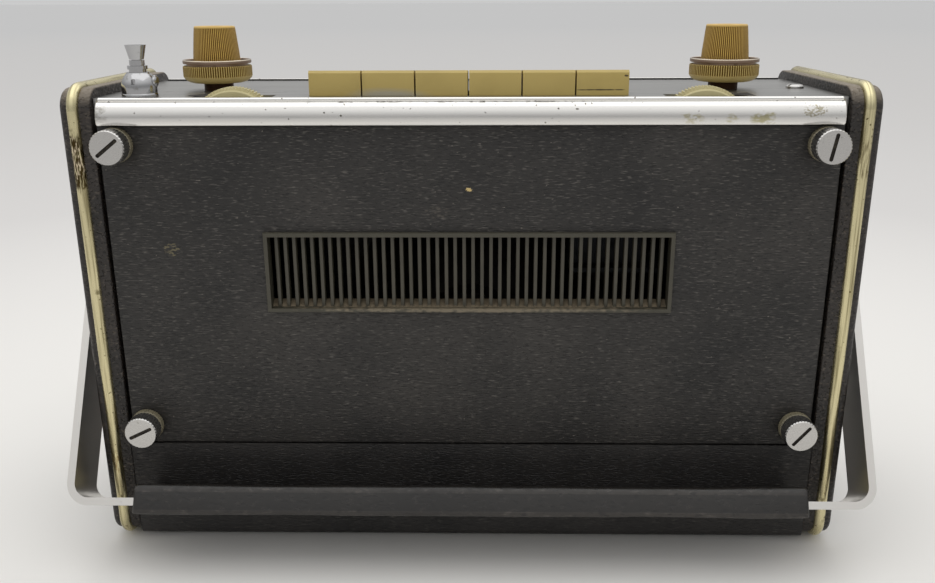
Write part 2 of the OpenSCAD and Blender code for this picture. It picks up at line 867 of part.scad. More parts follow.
module deck_plate() {
    color("#9a9a9a") from_rear() difference() {
        union() {
            box([-deck_x, trim_t, deck_low], [deck_x, front_trim_y, deck_z]);
            box([-deck_x, trim_t, trim_low], [deck_x, trim_t + deck_t, deck_z]);
            box([-deck_x, front_trim_y - deck_t, trim_low], [deck_x, front_trim_y, deck_z]);
        }
        translate([-key_bank_w / 2, key_y - seat_gap, deck_low - over])
            cube([key_bank_w, key_l + 2 * seat_gap, deck_t + 2 * over]);
        for (side = [-1, 1]) {
            rod_up(side * knob_x, knob_y, deck_low - over, bush_d + 2 * run_fit, deck_t + 2 * over);
            rod_up(side * deck_screw_x, deck_screw_y, deck_low - over,
                deck_screw_d + 2 * run_fit, deck_t + 2 * over);
            translate([side * wheel_x - wheel_slot / 2, wheel_y - wheel_w / 2 - seat_gap, deck_low - over])
                cube([wheel_slot, wheel_w + 2 * seat_gap, deck_t + 2 * over]);
        }
        rod_up(aerial_x, aerial_y, deck_low - over, guide_d + 2 * run_fit, deck_t + 2 * over);
    }
}

module deck_screws() {
    color("silver") from_rear() for (x = [-deck_screw_x, deck_screw_x]) {
        rod_up(x, deck_screw_y, deck_z, deck_head_d, deck_head_h);
        rod_up(x, deck_screw_y, deck_z - deck_screw_l, deck_screw_d, deck_screw_l);
    }
}

// Front panel

module speaker_grille() {
    open_low = grille_low + grille_border;
    back = baffle_y + board_t;
    color("#a9a8a4") from_rear() {
        difference() {
            box([-panel_x, back, grille_low], [panel_x, front_y, grille_top]);
            box([-grille_in_w / 2, back - over, open_low],
                [grille_in_w / 2, front_y + over, open_low + grille_in_h]);
        }
        for (i = [0:bar_count - 1])
            translate([-grille_in_w / 2 - lap, front_y - bar_t, open_low + (i + 0.5) * bar_step - bar_h / 2])
                cube([grille_in_w + 2 * lap, bar_t, bar_h]);
        for (x = [-rib_x, rib_x])
            translate([x - rib_w / 2, back + cloth_t, open_low - lap])
                cube([rib_w, grille_t - cloth_t - bar_t / 2, grille_in_h + 2 * lap]);
    }
}

module grille_cloth() {
    back = baffle_y + board_t;
    color("#221f1d") from_rear()
        box([-grille_in_w / 2 + seat_gap, back, grille_low + grille_border + seat_gap],
            [grille_in_w / 2 - seat_gap, back + cloth_t, grille_top - grille_border - seat_gap]);
}

module dial_bezel() {
    color("#2a2725") from_rear() {
        difference() {
            box([-panel_x, bezel_y, dial_low], [panel_x, front_y, trim_low - seat_gap]);
            translate([-window_w / 2, bezel_y - over, window_z - window_h / 2])
                cube([window_w, bezel_t + 2 * over, window_h]);
        }
        for (x = [-scale_boss_x, scale_boss_x])
            rod_y(x, scale_y + scale_t, window_z, scale_boss_d, bezel_y - scale_y - scale_t + lap);
    }
}

module dial_window() {
    color("#dfe6e4", 0.35) from_rear()
        box([-window_w / 2 - pane_lap, pane_y, window_z - window_h / 2 - pane_lap],
            [window_w / 2 + pane_lap, bezel_y, window_z + window_h / 2 + pane_lap]);
}

module dial_scale() {
    color("#e6dfc8") from_rear()
        box([-scale_w / 2, scale_y, window_z - window_h / 2],
            [scale_w / 2, scale_y + scale_t, window_z + window_h / 2]);
}

module dial_pointer() {
    clip_low = cord_z - clip_bore_d / 2 - clip_wall;
    clip_top = cord_z + clip_bore_d / 2 + clip_wall;
    color("#b3261e") from_rear() {
        difference() {
            box([-clip_block / 2, pointer_y - clip_half, clip_low],
                [clip_block / 2, pointer_y + clip_half, clip_top]);
            rod_x(-clip_block, pointer_y, cord_z, clip_bore_d, 2 * clip_block);
        }
        box([-pointer_w / 2, pointer_y - pointer_t / 2, clip_top - lap],
            [pointer_w / 2, pointer_y + pointer_t / 2, window_z + window_h / 2 - clip_wall]);
    }
}

// Tuning drive

// Angle of the cord's outward side where it runs from one wheel to the next, anticlockwise round the loop
function leave_angle(a, b) =
    let (run = [b[0] - a[0], b[1] - a[1]])
    atan2(run[1], run[0]) - acos((a[2] - b[2]) / norm(run));

function rim_point(wheel, angle) =
    [wheel[0] + wheel[2] * cos(angle), wheel[1] + wheel[2] * sin(angle)];

// The loop: an arc round each wheel, then a straight run to the next wheel
module drive_cord() {
    count = len(cord_wheels);
    leaves = [for (i = [0:count - 1]) leave_angle(cord_wheels[i], cord_wheels[(i + 1) % count])];
    color("#c8bfa4") from_rear() translate([0, 0, cord_z]) for (i = [0:count - 1]) {
        wheel = cord_wheels[i];
        arrive = leaves[(i + count - 1) % count];
        run_start = rim_point(wheel, leaves[i]);
        run_end = rim_point(cord_wheels[(i + 1) % count], leaves[i]);
        translate([wheel[0], wheel[1], 0]) rotate(arrive)
            rotate_extrude(angle = (leaves[i] - arrive + 720) % 360)
                translate([wheel[2], 0]) square(cord_d, center = true);
        translate(run_start) rotate(leaves[i] + 90) translate([-run_lap, -run_d / 2, -run_d / 2])
            cube([norm(run_end - run_start) + 2 * run_lap, run_d, run_d]);
    }
}

module cord_pulleys() {
    color("#b08d4a") from_rear() for (side = [-1, 1]) {
        difference() {
            rod_up(side * pulley_x, pulley_y, cord_z - pulley_t / 2, 2 * (pulley_r + cord_d), pulley_t);
            translate([side * pulley_x, pulley_y, cord_z - groove_h / 2]) difference() {
                cylinder(r = 2 * pulley_r, h = groove_h);
                translate([0, 0, -over]) cylinder(r = pulley_r - cord_gap, h = groove_h + 2 * over);
            }
        }
        rod_up(side * pulley_x, pulley_y, baffle_top, pulley_r - cord_gap, cord_z - baffle_top);
    }
}

module tuning_drum() {
    color("#cfc8b0") from_rear() difference() {
        rod_up(drum_x, drum_y, cord_z - drum_t / 2, 2 * (drum_r + cord_d), drum_t);
        translate([drum_x, drum_y, cord_z - groove_h / 2]) difference() {
            cylinder(r = 2 * drum_r, h = groove_h);
            translate([0, 0, -over]) cylinder(r = drum_r - cord_gap, h = groove_h + 2 * over);
        }
        rod_up(drum_x, drum_y, cord_z - drum_t, drum_pin_d + 2 * run_fit, 2 * drum_t);
    }
}

module tuning_capacitor() {
    half = capacitor_w / 2;
    pin_foot = shelf_z + capacitor_h - lap;
    color("#9b9da0") from_rear() {
        box([drum_x - half, drum_y - half, shelf_z], [drum_x + half, drum_y + half, shelf_z + capacitor_h]);
        rod_up(drum_x, drum_y, pin_foot, drum_pin_d, cord_z + drum_t / 2 + seat_gap - pin_foot);
        rod_up(drum_x, drum_y, pin_foot, 2 * drum_pin_d, cord_z - drum_t / 2 - seat_gap - pin_foot);
        difference() {
            box([knob_x - trimmer_w / 2, knob_y - trimmer_w / 2, shelf_z],
                [knob_x + trimmer_w / 2, knob_y + trimmer_w / 2, shelf_z + trimmer_h]);
            rod_up(knob_x, knob_y, shelf_z + trimmer_h / 2, tube_bore_d, trimmer_h);
        }
    }
}

// Keys

// Place of a key's middle, counted from 1 at the left
function key_x(i) = (i - (key_count + 1) / 2) * key_pitch;

module push_key(i) {
    x = key_x(i);
    half = (key_pitch - key_gap) / 2;
    front = key_y + key_l;
    color("#a8965a") from_rear() {
        translate([x - half, 0, 0]) along_x(2 * half) polygon([
            [key_y, key_foot],
            [key_y, key_top - key_edge],
            [key_y + key_edge, key_top],
            [front - key_edge, key_top - key_fall],
            [front, key_top - key_fall - key_edge],
            [front, key_foot],
        ]);
        box([x - half, key_y - key_lip_w, key_foot], [x + half, front + key_lip_w, key_lip_top]);
        rod_up(x, stem_y, frame_low - stem_reach, stem_d, key_foot - frame_low + stem_reach + lap);
    }
}

module key_1() { push_key(1); }
module key_2() { push_key(2); }
module key_3() { push_key(3); }
module key_4() { push_key(4); }
module key_5() { push_key(5); }
module key_6() { push_key(6); }

// Frame under the deck that guides the stems and holds the ferrite rod in two clips
module key_frame() {
    wall_in = key_bank_w / 2 + seat_gap;
    wall_out = wall_in + key_frame_t;
    rear = rod_place_y - rod_d / 2 - rod_clip_wall;
    front = key_y + key_l + key_lip_w;
    color("#5b5f63") from_rear() {
        difference() {
            union() {
                box([-wall_out, rear, frame_low], [wall_out, front, frame_floor]);
                both_sides() box([wall_in, rear, frame_low], [wall_out, front, deck_low]);
            }
            for (i = [1:key_count])
                rod_up(key_x(i), stem_y, frame_low - over, stem_d + 2 * run_fit, key_frame_t + 2 * over);
        }
        for (x = [-rod_clip_x, rod_clip_x]) difference() {
            box([x - rod_clip_w / 2, rear, rod_z - rod_d / 2 - rod_clip_wall],
                [x + rod_clip_w / 2, rod_place_y + rod_d / 2 + rod_clip_wall, frame_low + lap]);
            rod_x(x - rod_clip_w, rod_place_y, rod_z, rod_d + 2 * run_fit, 2 * rod_clip_w);
        }
    }
}

// Return springs as plain sleeves round the stems
module key_springs() {
    color("#c4c6c8") from_rear() for (i = [1:key_count])
        translate([key_x(i), stem_y, frame_floor]) difference() {
            cylinder(d = key_spring_d, h = key_foot - frame_floor);
            translate([0, 0, -over])
                cylinder(d = key_spring_d - 2 * key_spring_t, h = key_foot - frame_floor + 2 * over);
        }
}

// Knobs, shafts and bushes: written for the right side, with side -1 for the left

module top_knob(side) {
    from_rear() translate([side * knob_x, knob_y, top_knob_z]) difference() {
        cylinder(d1 = top_knob_d, d2 = top_knob_top_d, h = top_knob_h);
        translate([0, 0, top_knob_h - dish_depth]) cylinder(d = dish_d, h = dish_depth + over);
        translate([0, 0, -over]) cylinder(d = tube_bore_d, h = shaft_head - top_knob_z + over + run_fit);
    }
}

module low_knob(side) {
    from_rear() translate([side * knob_x, knob_y, low_knob_z]) difference() {
        union() {
            cylinder(d1 = low_knob_d - 2 * low_knob_edge, d2 = low_knob_d, h = low_knob_edge);
            translate([0, 0, low_knob_edge]) cylinder(d = low_knob_d, h = low_knob_h - low_knob_edge);
            cylinder(d = ring_bore_d, h = low_knob_h + ring_h);
        }
        translate([0, 0, -over]) cylinder(d = outer_shaft_d + 2 * run_fit, h = low_knob_h + ring_h + 2 * over);
    }
}

module knob_ring(side) {
    from_rear() translate([side * knob_x, knob_y, ring_z]) difference() {
        cylinder(d = ring_d, h = ring_h);
        translate([0, 0, -over]) cylinder(d = ring_bore_d + 2 * run_fit, h = ring_h + 2 * over);
    }
}

module inner_shaft(side, foot) {
    from_rear() rod_up(side * knob_x, knob_y, foot, inner_shaft_d, shaft_head - foot);
}

module outer_shaft(side, foot) {
    length = ring_z + ring_h - foot;
    from_rear() difference() {
        rod_up(side * knob_x, knob_y, foot, outer_shaft_d, length);
        rod_up(side * knob_x, knob_y, foot - over, tube_bore_d, length + 2 * over);
    }
}

module volume_knob() { color("#a08040") top_knob(-1); }
module tone_knob() { color("#8c7a3c") low_knob(-1); }
module tone_ring() { color("#b5aca8") knob_ring(-1); }
module volume_shaft() { color("#c9b26a") inner_shaft(-1, volume_foot); }
module tone_shaft() { color("#c9b26a") outer_shaft(-1, tone_foot); }
module fine_tuning_knob() { color("#a08040") top_knob(1); }
module tuning_knob() { color("#8c7a3c") low_knob(1); }
module tuning_ring() { color("#b5aca8") knob_ring(1); }
module fine_tuning_shaft() { color("#c9b26a") inner_shaft(1, fine_foot); }

// The tuning shaft carries the spindle that the cord goes round
module tuning_shaft() {
    spindle_low = cord_z - 2 * groove_h;
    color("#c9b26a") {
        outer_shaft(1, spindle_low);
        from_rear() difference() {
            rod_up(knob_x, knob_y, spindle_low, 2 * (spindle_r - cord_gap), 4 * groove_h);
            rod_up(knob_x, knob_y, spindle_low - over, tube_bore_d, 4 * groove_h + 2 * over);
        }
    }
}

module control_bushes() {
    color("#3b3a38") from_rear() {
        difference() {
            union() {
                rod_up(-knob_x, knob_y, control_low, control_d, control_h);
                rod_up(-knob_x, knob_y, deck_low - lap, bush_d, bush_top - deck_low + lap);
            }
            rod_up(-knob_x, knob_y, tone_foot - seat_gap, outer_shaft_d + 2 * run_fit, bush_top);
            rod_up(-knob_x, knob_y, volume_foot - seat_gap, tube_bore_d, bush_top);
        }
        difference() {
            union() {
                rod_up(knob_x, knob_y, deck_low - bush_flange_t, bush_flange_d, bush_flange_t);
                rod_up(knob_x, knob_y, deck_low - lap, bush_d, bush_top - deck_low + lap);
            }
            rod_up(knob_x, knob_y, deck_low - bush_flange_t - over, outer_shaft_d + 2 * run_fit, bush_top);
        }
    }
}

// Thumbwheels

module thumbwheel(side) {
    from_rear() difference() {
        rod_y(side * wheel_x, wheel_y - wheel_w / 2, axle_z, wheel_d, wheel_w);
        rod_y(side * wheel_x, wheel_y - wheel_w, axle_z, axle_d + 2 * run_fit, 2 * wheel_w);
    }
}

module bass_wheel() { color("#c0b070") thumbwheel(-1); }
module treble_wheel() { color("#c0b070") thumbwheel(1); }

// Each wheel's control: two ears under the deck, the axle between them and the can in front
module wheel_controls() {
    color("#6d6f72") from_rear() both_sides() {
        for (y = [ear_rear, ear_front])
            box([wheel_x - ear_w / 2, y, axle_z - ear_w / 2], [wheel_x + ear_w / 2, y + ear_t, deck_low]);
        rod_y(wheel_x, ear_rear, axle_z, axle_d, ear_front + ear_t - ear_rear);
        rod_y(wheel_x, ear_front + ear_t / 2, axle_z, wheel_pot_d, wheel_pot_t);
    }
}

// Aerial

module at_aerial(z) {
    from_rear() translate([aerial_x, aerial_y, z]) children();
}

module aerial_base() {
    color("#a3a19c") at_aerial(deck_z) difference() {
        union() {
            cylinder(d = dome_d, h = dome_foot);
            intersection() {
                translate([0, 0, dome_foot]) sphere(d = dome_d);
                cylinder(d = 2 * dome_d, h = dome_foot + dome_d);
            }
        }
        translate([0, 0, -over]) cylinder(d = guide_bore_d, h = dome_foot + dome_d);
    }
}

module aerial_guide() {
    length = deck_z - guide_low;
    color("#8f9194") at_aerial(guide_low) difference() {
        union() {
            cylinder(d = guide_d, h = length);
            translate([0, 0, length - deck_t - guide_flange_t])
                cylinder(d = guide_flange_d, h = guide_flange_t);
        }
        translate([0, 0, -over]) cylinder(d = guide_bore_d, h = length + 2 * over);
    }
}

module mast_lower() {
    foot = guide_low + mast_step;
    color("#d5d5d3") at_aerial(foot) difference() {
        union() {
            cylinder(d = mast_d, h = rim_z - foot + mast_rim_h);
            translate([0, 0, rim_z - foot]) cylinder(d = mast_rim_d, h = mast_rim_h);
        }
        translate([0, 0, -over]) cylinder(d = mast_bore_d, h = rim_z - foot + mast_rim_h + 2 * over);
    }
}

module mast_middle() {
    foot = guide_low + 2 * mast_step;
    color("#d5d5d3") at_aerial(foot) difference() {
        union() {
            cylinder(d = middle_d, h = neck_z - foot + neck_h);
            translate([0, 0, neck_z - foot]) cylinder(d = neck_d, h = neck_h);
        }
        translate([0, 0, -over]) cylinder(d = middle_bore_d, h = neck_z - foot + neck_h + 2 * over);
    }
}

module mast_tip() {
    foot = guide_low + 3 * mast_step;
    color("#d5d5d3") at_aerial(foot) {
        cylinder(d = rod_tip_d, h = tip_z - foot + lap);
        translate([0, 0, tip_z - foot]) cylinder(d1 = tip_low_d, d2 = tip_d, h = tip_h);
    }
}

// Handle: drawn with its arms hanging straight down from the pivot axis, then leaned back to rest

module at_rest() {
    from_rear() translate([0, pivot_y, pivot_z]) rotate([-rest_angle, 0, 0]) children();
}

// Right half of the strap: the arm with its round end, the bend and half of the cross bar
module strap_half() {
    bar_low = -arm_l - strap_t / 2;
    bend_z = bar_low + strap_bend;
    bend_x = strap_out - strap_bend;
    translate([strap_in, 0, 0]) along_x(strap_t) difference() {
        union() {
            circle(d = strap_w);
            translate([-strap_w / 2, bend_z]) square([strap_w, -bend_z]);
        }
        circle(d = pivot_d + 2 * run_fit);
    }
    translate([bend_x, 0, bend_z]) mirror([0, 0, 1]) rotate([90, 0, 0]) rotate_extrude(angle = 90)
        translate([strap_bend - strap_t, -strap_w / 2]) square([strap_t, strap_w]);
    box([0, -strap_w / 2, bar_low], [bend_x, strap_w / 2, bar_low + strap_t]);
}

module handle_strap() {
    color("#c3c0bb") at_rest() both_sides() strap_half();
}

module handle_grip() {
    color("#3c3835") at_rest() translate([-grip_x, 0, -arm_l]) along_x(2 * grip_x) difference() {
        translate([-grip_w / 2, grip_rise - grip_h / 2]) rounded_rect(grip_w, grip_h, grip_r);
        square([strap_w + 2 * run_fit, strap_t + 2 * run_fit], center = true);
    }
}

// Pivots: a stem in the cheek, a boss, the pin through the strap and a head
module handle_pivots() {
    outer = case_w / 2;
    head_x = strap_out + seat_gap;
    color("#b9b7b2") from_rear() both_sides() {
        rod_x(outer - pivot_stem_l, pivot_y, pivot_z, pivot_d, head_x - outer + pivot_stem_l + lap);
        rod_x(outer, pivot_y, pivot_z, boss_d, handle_gap - seat_gap);
        rod_x(head_x, pivot_y, pivot_z, pivot_head_d, pivot_head_t);
    }
}

// Loudspeaker

module around_speaker(y) {
    from_rear() translate([0, y, speaker_z]) rotate([-90, 0, 0]) children();
}

module speaker_basket() {
    color("#7d8083") around_speaker(basket_y) rotate_extrude() {
        polygon([
            [magnet_d / 2 - basket_t, 0],
            [magnet_d / 2, 0],
            [speaker_d / 2 - basket_shoulder, basket_depth],
            [speaker_d / 2, basket_depth],
            [speaker_d / 2, basket_depth + flange_t],
            [speaker_hole_d / 2, basket_depth + flange_t],
            [speaker_hole_d / 2, basket_depth],
            [speaker_d / 2 - basket_shoulder - 2 * basket_t, basket_depth],
        ]);
        translate([0, -magnet_t]) square([magnet_d / 2, magnet_t]);
    }
}

module speaker_cone() {
    rim = basket_depth + flange_t - cone_recess;
    color("#2b2622") around_speaker(basket_y) rotate_extrude() polygon([
        [0, rim - cone_depth],
        [dust_cap_d / 2, rim - cone_depth],
        [cone_d / 2 - cone_rim_w + basket_t, rim - basket_t],
        [cone_d / 2, rim - basket_t],
        [cone_d / 2, rim],
        [cone_d / 2 - cone_rim_w, rim],
        [dust_cap_d / 2, rim - cone_depth + 2 * basket_t],
        [0, rim - cone_depth + 4 * basket_t],
    ]);
}

// Electronics and batteries

// Circuit board on posts inside the left cheek, with its larger components
module circuit_board() {
    face = pcb_x + pcb_t;
    color("#a5763a") from_rear() {
        box([pcb_x, pcb_y, pcb_z], [face, pcb_y + pcb_w, pcb_z + pcb_h]);
        for (y = [pcb_y + post_inset, pcb_y + pcb_w - post_inset],
             z = [pcb_z + post_inset, pcb_z + pcb_h - post_inset])
            rod_x(-cheek_in, y, z, post_d, pcb_gap);
        for (i = [0:can_count - 1])
            translate([face - lap, pcb_y + can_y, pcb_z + part_start + i * can_step])
                cube([can_h, can_w, can_w]);
        for (i = [0:electrolytic_count - 1])
            rod_x(face - lap, pcb_y + electrolytic_y, pcb_z + part_start + i * electrolytic_step,
                electrolytic_d, can_h);
    }
}

module ferrite_rod() {
    color("#2e2c2b") from_rear() rod_x(-rod_l / 2, rod_place_y, rod_z, rod_d, rod_l);
}

module battery_tray() {
    color("#4c4a47") from_rear() difference() {
        translate([-tray_l / 2 - tray_t, tray_y, floor_z])
            cube([tray_l + 2 * tray_t, tray_w + 2 * tray_t, tray_h]);
        translate([-tray_l / 2, tray_y + tray_t, floor_z + tray_t]) cube([tray_l, tray_w, tray_h]);
    }
}

module batteries() {
    color("#7a2f28") from_rear() for (i = [0:cell_count - 1])
        rod_x((i - cell_count / 2) * cell_l, cell_y, cell_z, cell_d, cell_l - seat_gap);
}

cabinet_frame();
left_cheek();
right_cheek();
cheek_beads();
feet();
rear_cover();
vent_grille();
cover_screws();
cover_collars();
chassis_brackets();
rear_trim();
front_trim();
deck_plate();
deck_screws();
speaker_grille();
grille_cloth();
dial_bezel();
dial_window();
dial_scale();
dial_pointer();
cord_pulleys();
drive_cord();
tuning_drum();
tuning_capacitor();
key_1();
key_2();
key_3();
key_4();
key_5();
key_6();
key_frame();
key_springs();
volume_knob();
volume_shaft();
tone_knob();
tone_ring();
tone_shaft();
fine_tuning_knob();
fine_tuning_shaft();
tuning_knob();
tuning_ring();
tuning_shaft();
control_bushes();
bass_wheel();
treble_wheel();
wheel_controls();
aerial_base();
aerial_guide();
mast_lower();
mast_middle();
mast_tip();
handle_strap();
handle_grip();
handle_pivots();
speaker_basket();
speaker_cone();
circuit_board();
ferrite_rod();
battery_tray();
batteries();
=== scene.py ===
"""Looks of a portable suitcase radio, seen from its back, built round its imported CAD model.

Lengths are written in millimetres, as the radio's maker would measure them: depths from the face
of the rear cover towards the loudspeaker side, and heights from the underside of the cheeks. They
become metres of the CAD frame when a piece is put in its place.
"""

import logging
import math
from contextlib import contextmanager
from dataclasses import dataclass, field
from enum import Enum
from typing import Callable, Iterator, Mapping, Optional, Sequence

import bmesh
import bpy
from mathutils import Matrix, Vector


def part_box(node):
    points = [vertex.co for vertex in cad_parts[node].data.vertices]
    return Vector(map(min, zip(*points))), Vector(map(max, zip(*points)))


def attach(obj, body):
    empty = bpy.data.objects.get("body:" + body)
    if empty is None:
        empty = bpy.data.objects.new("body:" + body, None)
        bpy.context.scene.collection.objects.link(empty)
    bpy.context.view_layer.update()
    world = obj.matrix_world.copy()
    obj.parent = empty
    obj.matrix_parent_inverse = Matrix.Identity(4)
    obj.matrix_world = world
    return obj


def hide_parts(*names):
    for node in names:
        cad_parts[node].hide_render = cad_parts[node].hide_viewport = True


log = logging.getLogger("radio")
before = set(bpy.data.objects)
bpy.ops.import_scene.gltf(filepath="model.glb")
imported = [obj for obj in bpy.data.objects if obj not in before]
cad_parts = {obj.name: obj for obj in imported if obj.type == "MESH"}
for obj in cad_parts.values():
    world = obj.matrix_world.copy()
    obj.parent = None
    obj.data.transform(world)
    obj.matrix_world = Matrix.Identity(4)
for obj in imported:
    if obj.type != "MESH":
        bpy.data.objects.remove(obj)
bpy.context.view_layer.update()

REAR_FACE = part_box("rear_cover")[0][1] * 1000.0
CASE_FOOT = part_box("left_cheek")[0][2] * 1000.0
CASE = Vector((0.0, REAR_FACE, CASE_FOOT))
ORIGIN = Vector()

# Distance within which vertices merge, and reach of a test round a place, in millimetres
MERGE, NEAR = 0.002, 0.05
# Noise between these limits fades a pattern in: pits, patches and worn tops of leatherette
PITS, PATCHES, TOPS = (0.33, 0.42), (0.32, 0.7), (0.58, 0.76)
# The same for painted glints on the grain's tops, streaks on metal (wear, and on the deck partly painted
# reflection), dirt on plastic, and the middle of the noise
GLINT_LIMITS, STREAKS, DIRT, MIDDLE = (0.83, 0.88), (0.46, 0.72), (0.5, 0.85), (0.3, 0.7)
# Share of a face that looks up between which cloth takes painted light from above, and by how much
UPWARD_LIGHT = (0.2, 0.95, 0.0, 0.75)
# Share of a stain's reach over which it fades in
STAIN_FADE = (1.0, 0.3)
# Steps of fine patterns in millimetres
GLINT_SIZE, PIT_SIZE, HAZE_SIZE = (1.3, 1.3, 0.8), (1.2, 1.2, 1.2), (14.0, 14.0, 14.0)
# Indices of refraction
PVC_IOR, PLASTIC_IOR, ACRYLIC_IOR = 1.52, 1.5, 1.49

Profile = Sequence[tuple[float, float]]
Triple = tuple[float, float, float]
Piece = bpy.types.Object
Socket = bpy.types.NodeSocket
Tree = bpy.types.NodeTree
Tone = Socket | str
Test = Callable[[Vector, Vector], bool]


class Kind(Enum):
    """What a selection is made of."""

    VERT = "VERT"
    EDGE = "EDGE"
    FACE = "FACE"


class Side(Enum):
    """Left and right half of the radio as the camera sees it."""

    LEFT = -1
    RIGHT = 1


class Axis(Enum):
    """Direction that the axis of a turned piece is laid in."""

    BACK = (math.pi / 2, 0.0, 0.0)
    LEFT = (0.0, -math.pi / 2, 0.0)
    RIGHT = (0.0, math.pi / 2, 0.0)


# Measures and colours


def mm(value: float) -> float:
    """Turns millimetres into metres."""
    return value / 1000.0


def spot(x: float, y: float, z: float, datum: Vector = CASE) -> Vector:
    """Gives the place of a point in metres of the CAD frame, from millimetres off a datum."""
    return (Vector((x, y, z)) + datum) / 1000.0


def per(size: float) -> float:
    """Gives the texture scale at which one step of a pattern is so many millimetres."""
    return 1000.0 / size


def linear(code: str) -> tuple[float, float, float, float]:
    """Turns an sRGB hex colour into linear light.

    Args:
        code: colour as #rrggbb.

    Returns:
        Red, green, blue and an alpha of 1.
    """
    parts = [int(code[i:i + 2], 16) / 255.0 for i in (1, 3, 5)]
    red, green, blue = (c / 12.92 if c <= 0.04045 else ((c + 0.055) / 1.055) ** 2.4 for c in parts)
    return red, green, blue, 1.0


# Modelling by hand


def along(part: float) -> bool:
    """Tells whether a direction lies along the axis that this part of it belongs to."""
    return abs(part) > 0.9


def square(part: float) -> bool:
    """Tells whether a direction is square to the axis that this part of it belongs to."""
    return abs(part) < 0.1


def only(piece: Piece) -> Piece:
    """Selects one piece alone and makes it the active one."""
    bpy.ops.object.select_all(action="DESELECT")
    piece.select_set(True)
    bpy.context.view_layer.objects.active = piece
    return piece


def taken(name: str) -> Piece:
    """Names the primitive that was just added."""
    piece = bpy.context.object
    piece.name = name
    piece.data.name = name
    return only(piece)


@contextmanager
def editing(piece: Piece) -> Iterator[None]:
    """Opens a piece in edit mode with nothing selected.

    Args:
        piece: mesh object to shape.
    """
    only(piece)
    bpy.ops.object.mode_set(mode="EDIT")
    bpy.ops.mesh.select_all(action="DESELECT")
    yield
    bpy.ops.object.mode_set(mode="OBJECT")


def choose(piece: Piece, kind: Kind, test: Test, datum: Vector = CASE) -> int:
    """Selects the elements of an open mesh that pass a test.

    Args:
        piece: mesh object in edit mode.
        kind: vertices, edges or faces.
        test: takes an element's middle in millimetres off the datum, and its normal or an edge's
            direction.
        datum: point that the test measures from.

    Returns:
        How many elements are selected.
    """
    bpy.ops.mesh.select_all(action="DESELECT")
    bpy.ops.mesh.select_mode(type=kind.value)
    mesh = bmesh.from_edit_mesh(piece.data)
    count = 0
    items = {Kind.VERT: mesh.verts, Kind.EDGE: mesh.edges, Kind.FACE: mesh.faces}[kind]
    for item in items:
        if kind is Kind.VERT:
            middle, way = item.co, item.normal
        elif kind is Kind.EDGE:
            ends = [v.co for v in item.verts]
            middle, way = (ends[0] + ends[1]) / 2, (ends[1] - ends[0]).normalized()
        else:
            middle, way = item.calc_center_median(), item.normal
        item.select = bool(test(middle * 1000.0 - datum, way))
        count += item.select
    mesh.select_flush_mode()
    bmesh.update_edit_mesh(piece.data)
    return count


def settle(piece: Piece, place: Vector = Vector(), turn: Triple = (0.0, 0.0, 0.0)) -> Piece:
    """Moves and turns a piece, and applies that so that its place is in its mesh.

    Args:
        piece: mesh object.
        place: where its own origin goes, in metres.
        turn: turns about X, Y and Z in radians.

    Returns:
        The same piece.
    """
    piece.location, piece.rotation_euler = place, turn
    only(piece)
    bpy.ops.object.transform_apply(location=True, rotation=True, scale=True)
    return piece


def closed(piece: Piece, angle: float = 32.0) -> Piece:
    """Merges doubles, points all faces outwards and shades the piece smooth up to an angle in degrees."""
    with editing(piece):
        bpy.ops.mesh.select_all(action="SELECT")
        bpy.ops.mesh.remove_doubles(threshold=mm(MERGE))
        bpy.ops.mesh.normals_make_consistent(inside=False)
    only(piece)
    bpy.ops.object.shade_smooth_by_angle(angle=math.radians(angle))
    return piece


def block(name: str, low: Triple, high: Triple, datum: Vector = CASE) -> Piece:
    """Starts a piece from a cube between two corners.

    Args:
        name: name of the piece.
        low: lowest corner in millimetres off the datum.
        high: highest corner.
        datum: point that the corners are measured from.

    Returns:
        The cube, with its place in its mesh.
    """
    bpy.ops.object.select_all(action="DESELECT")
    near, far = spot(*low, datum), spot(*high, datum)
    bpy.ops.mesh.primitive_cube_add(size=1.0, location=(near + far) / 2)
    piece = taken(name)
    piece.scale = far - near
    bpy.ops.object.transform_apply(location=True, rotation=True, scale=True)
    return piece


def rounded(piece: Piece, width: float, segments: int, test: Test, datum: Vector = CASE) -> Piece:
    """Bevels the edges of a piece that pass a test.

    Args:
        piece: mesh object.
        width: bevel width in millimetres.
        segments: number of steps in the bevel.
        test: takes an edge's middle in millimetres off the datum and its direction.
        datum: point that the test measures from.

    Returns:
        The same piece.
    """
    with editing(piece):
        if choose(piece, Kind.EDGE, test, datum):
            bpy.ops.mesh.bevel(offset=mm(width), segments=segments, affect="EDGES", profile=0.5)
    return piece


def turned(name: str, steps: Profile, sides: int = 64) -> Piece:
    """Turns a piece about Z: a disc is extruded and scaled step by step.

    Args:
        name: name of the piece.
        steps: radius and height of each step, in millimetres.
        sides: number of sides of the round.

    Returns:
        A closed piece on the origin.
    """
    bpy.ops.object.select_all(action="DESELECT")
    radius, height = steps[0]
    bpy.ops.mesh.primitive_circle_add(vertices=sides, radius=mm(radius), fill_type="NGON")
    piece = settle(taken(name), Vector((0, 0, mm(height))))
    with editing(piece):
        bpy.ops.mesh.select_all(action="SELECT")
        for wide, high in steps[1:]:
            bpy.ops.mesh.extrude_region_move(TRANSFORM_OT_translate={"value": (0, 0, mm(high - height))})
            grow = wide / radius
            bpy.ops.transform.resize(value=(grow, grow, 1), center_override=(0, 0, mm(high)))
            radius, height = wide, high
    return closed(piece)


def arc(
    middle: tuple[float, float], radius: float, start: float, end: float, count: int,
) -> list[tuple[float, float]]:
    """Gives points on an arc.

    Args:
        middle: centre of the arc.
        radius: its radius.
        start: first angle in degrees.
        end: last angle.
        count: number of points.

    Returns:
        The points in order.
    """
    turns = [math.radians(start + (end - start) * i / (count - 1)) for i in range(count)]
    return [(middle[0] + radius * math.cos(a), middle[1] + radius * math.sin(a)) for a in turns]


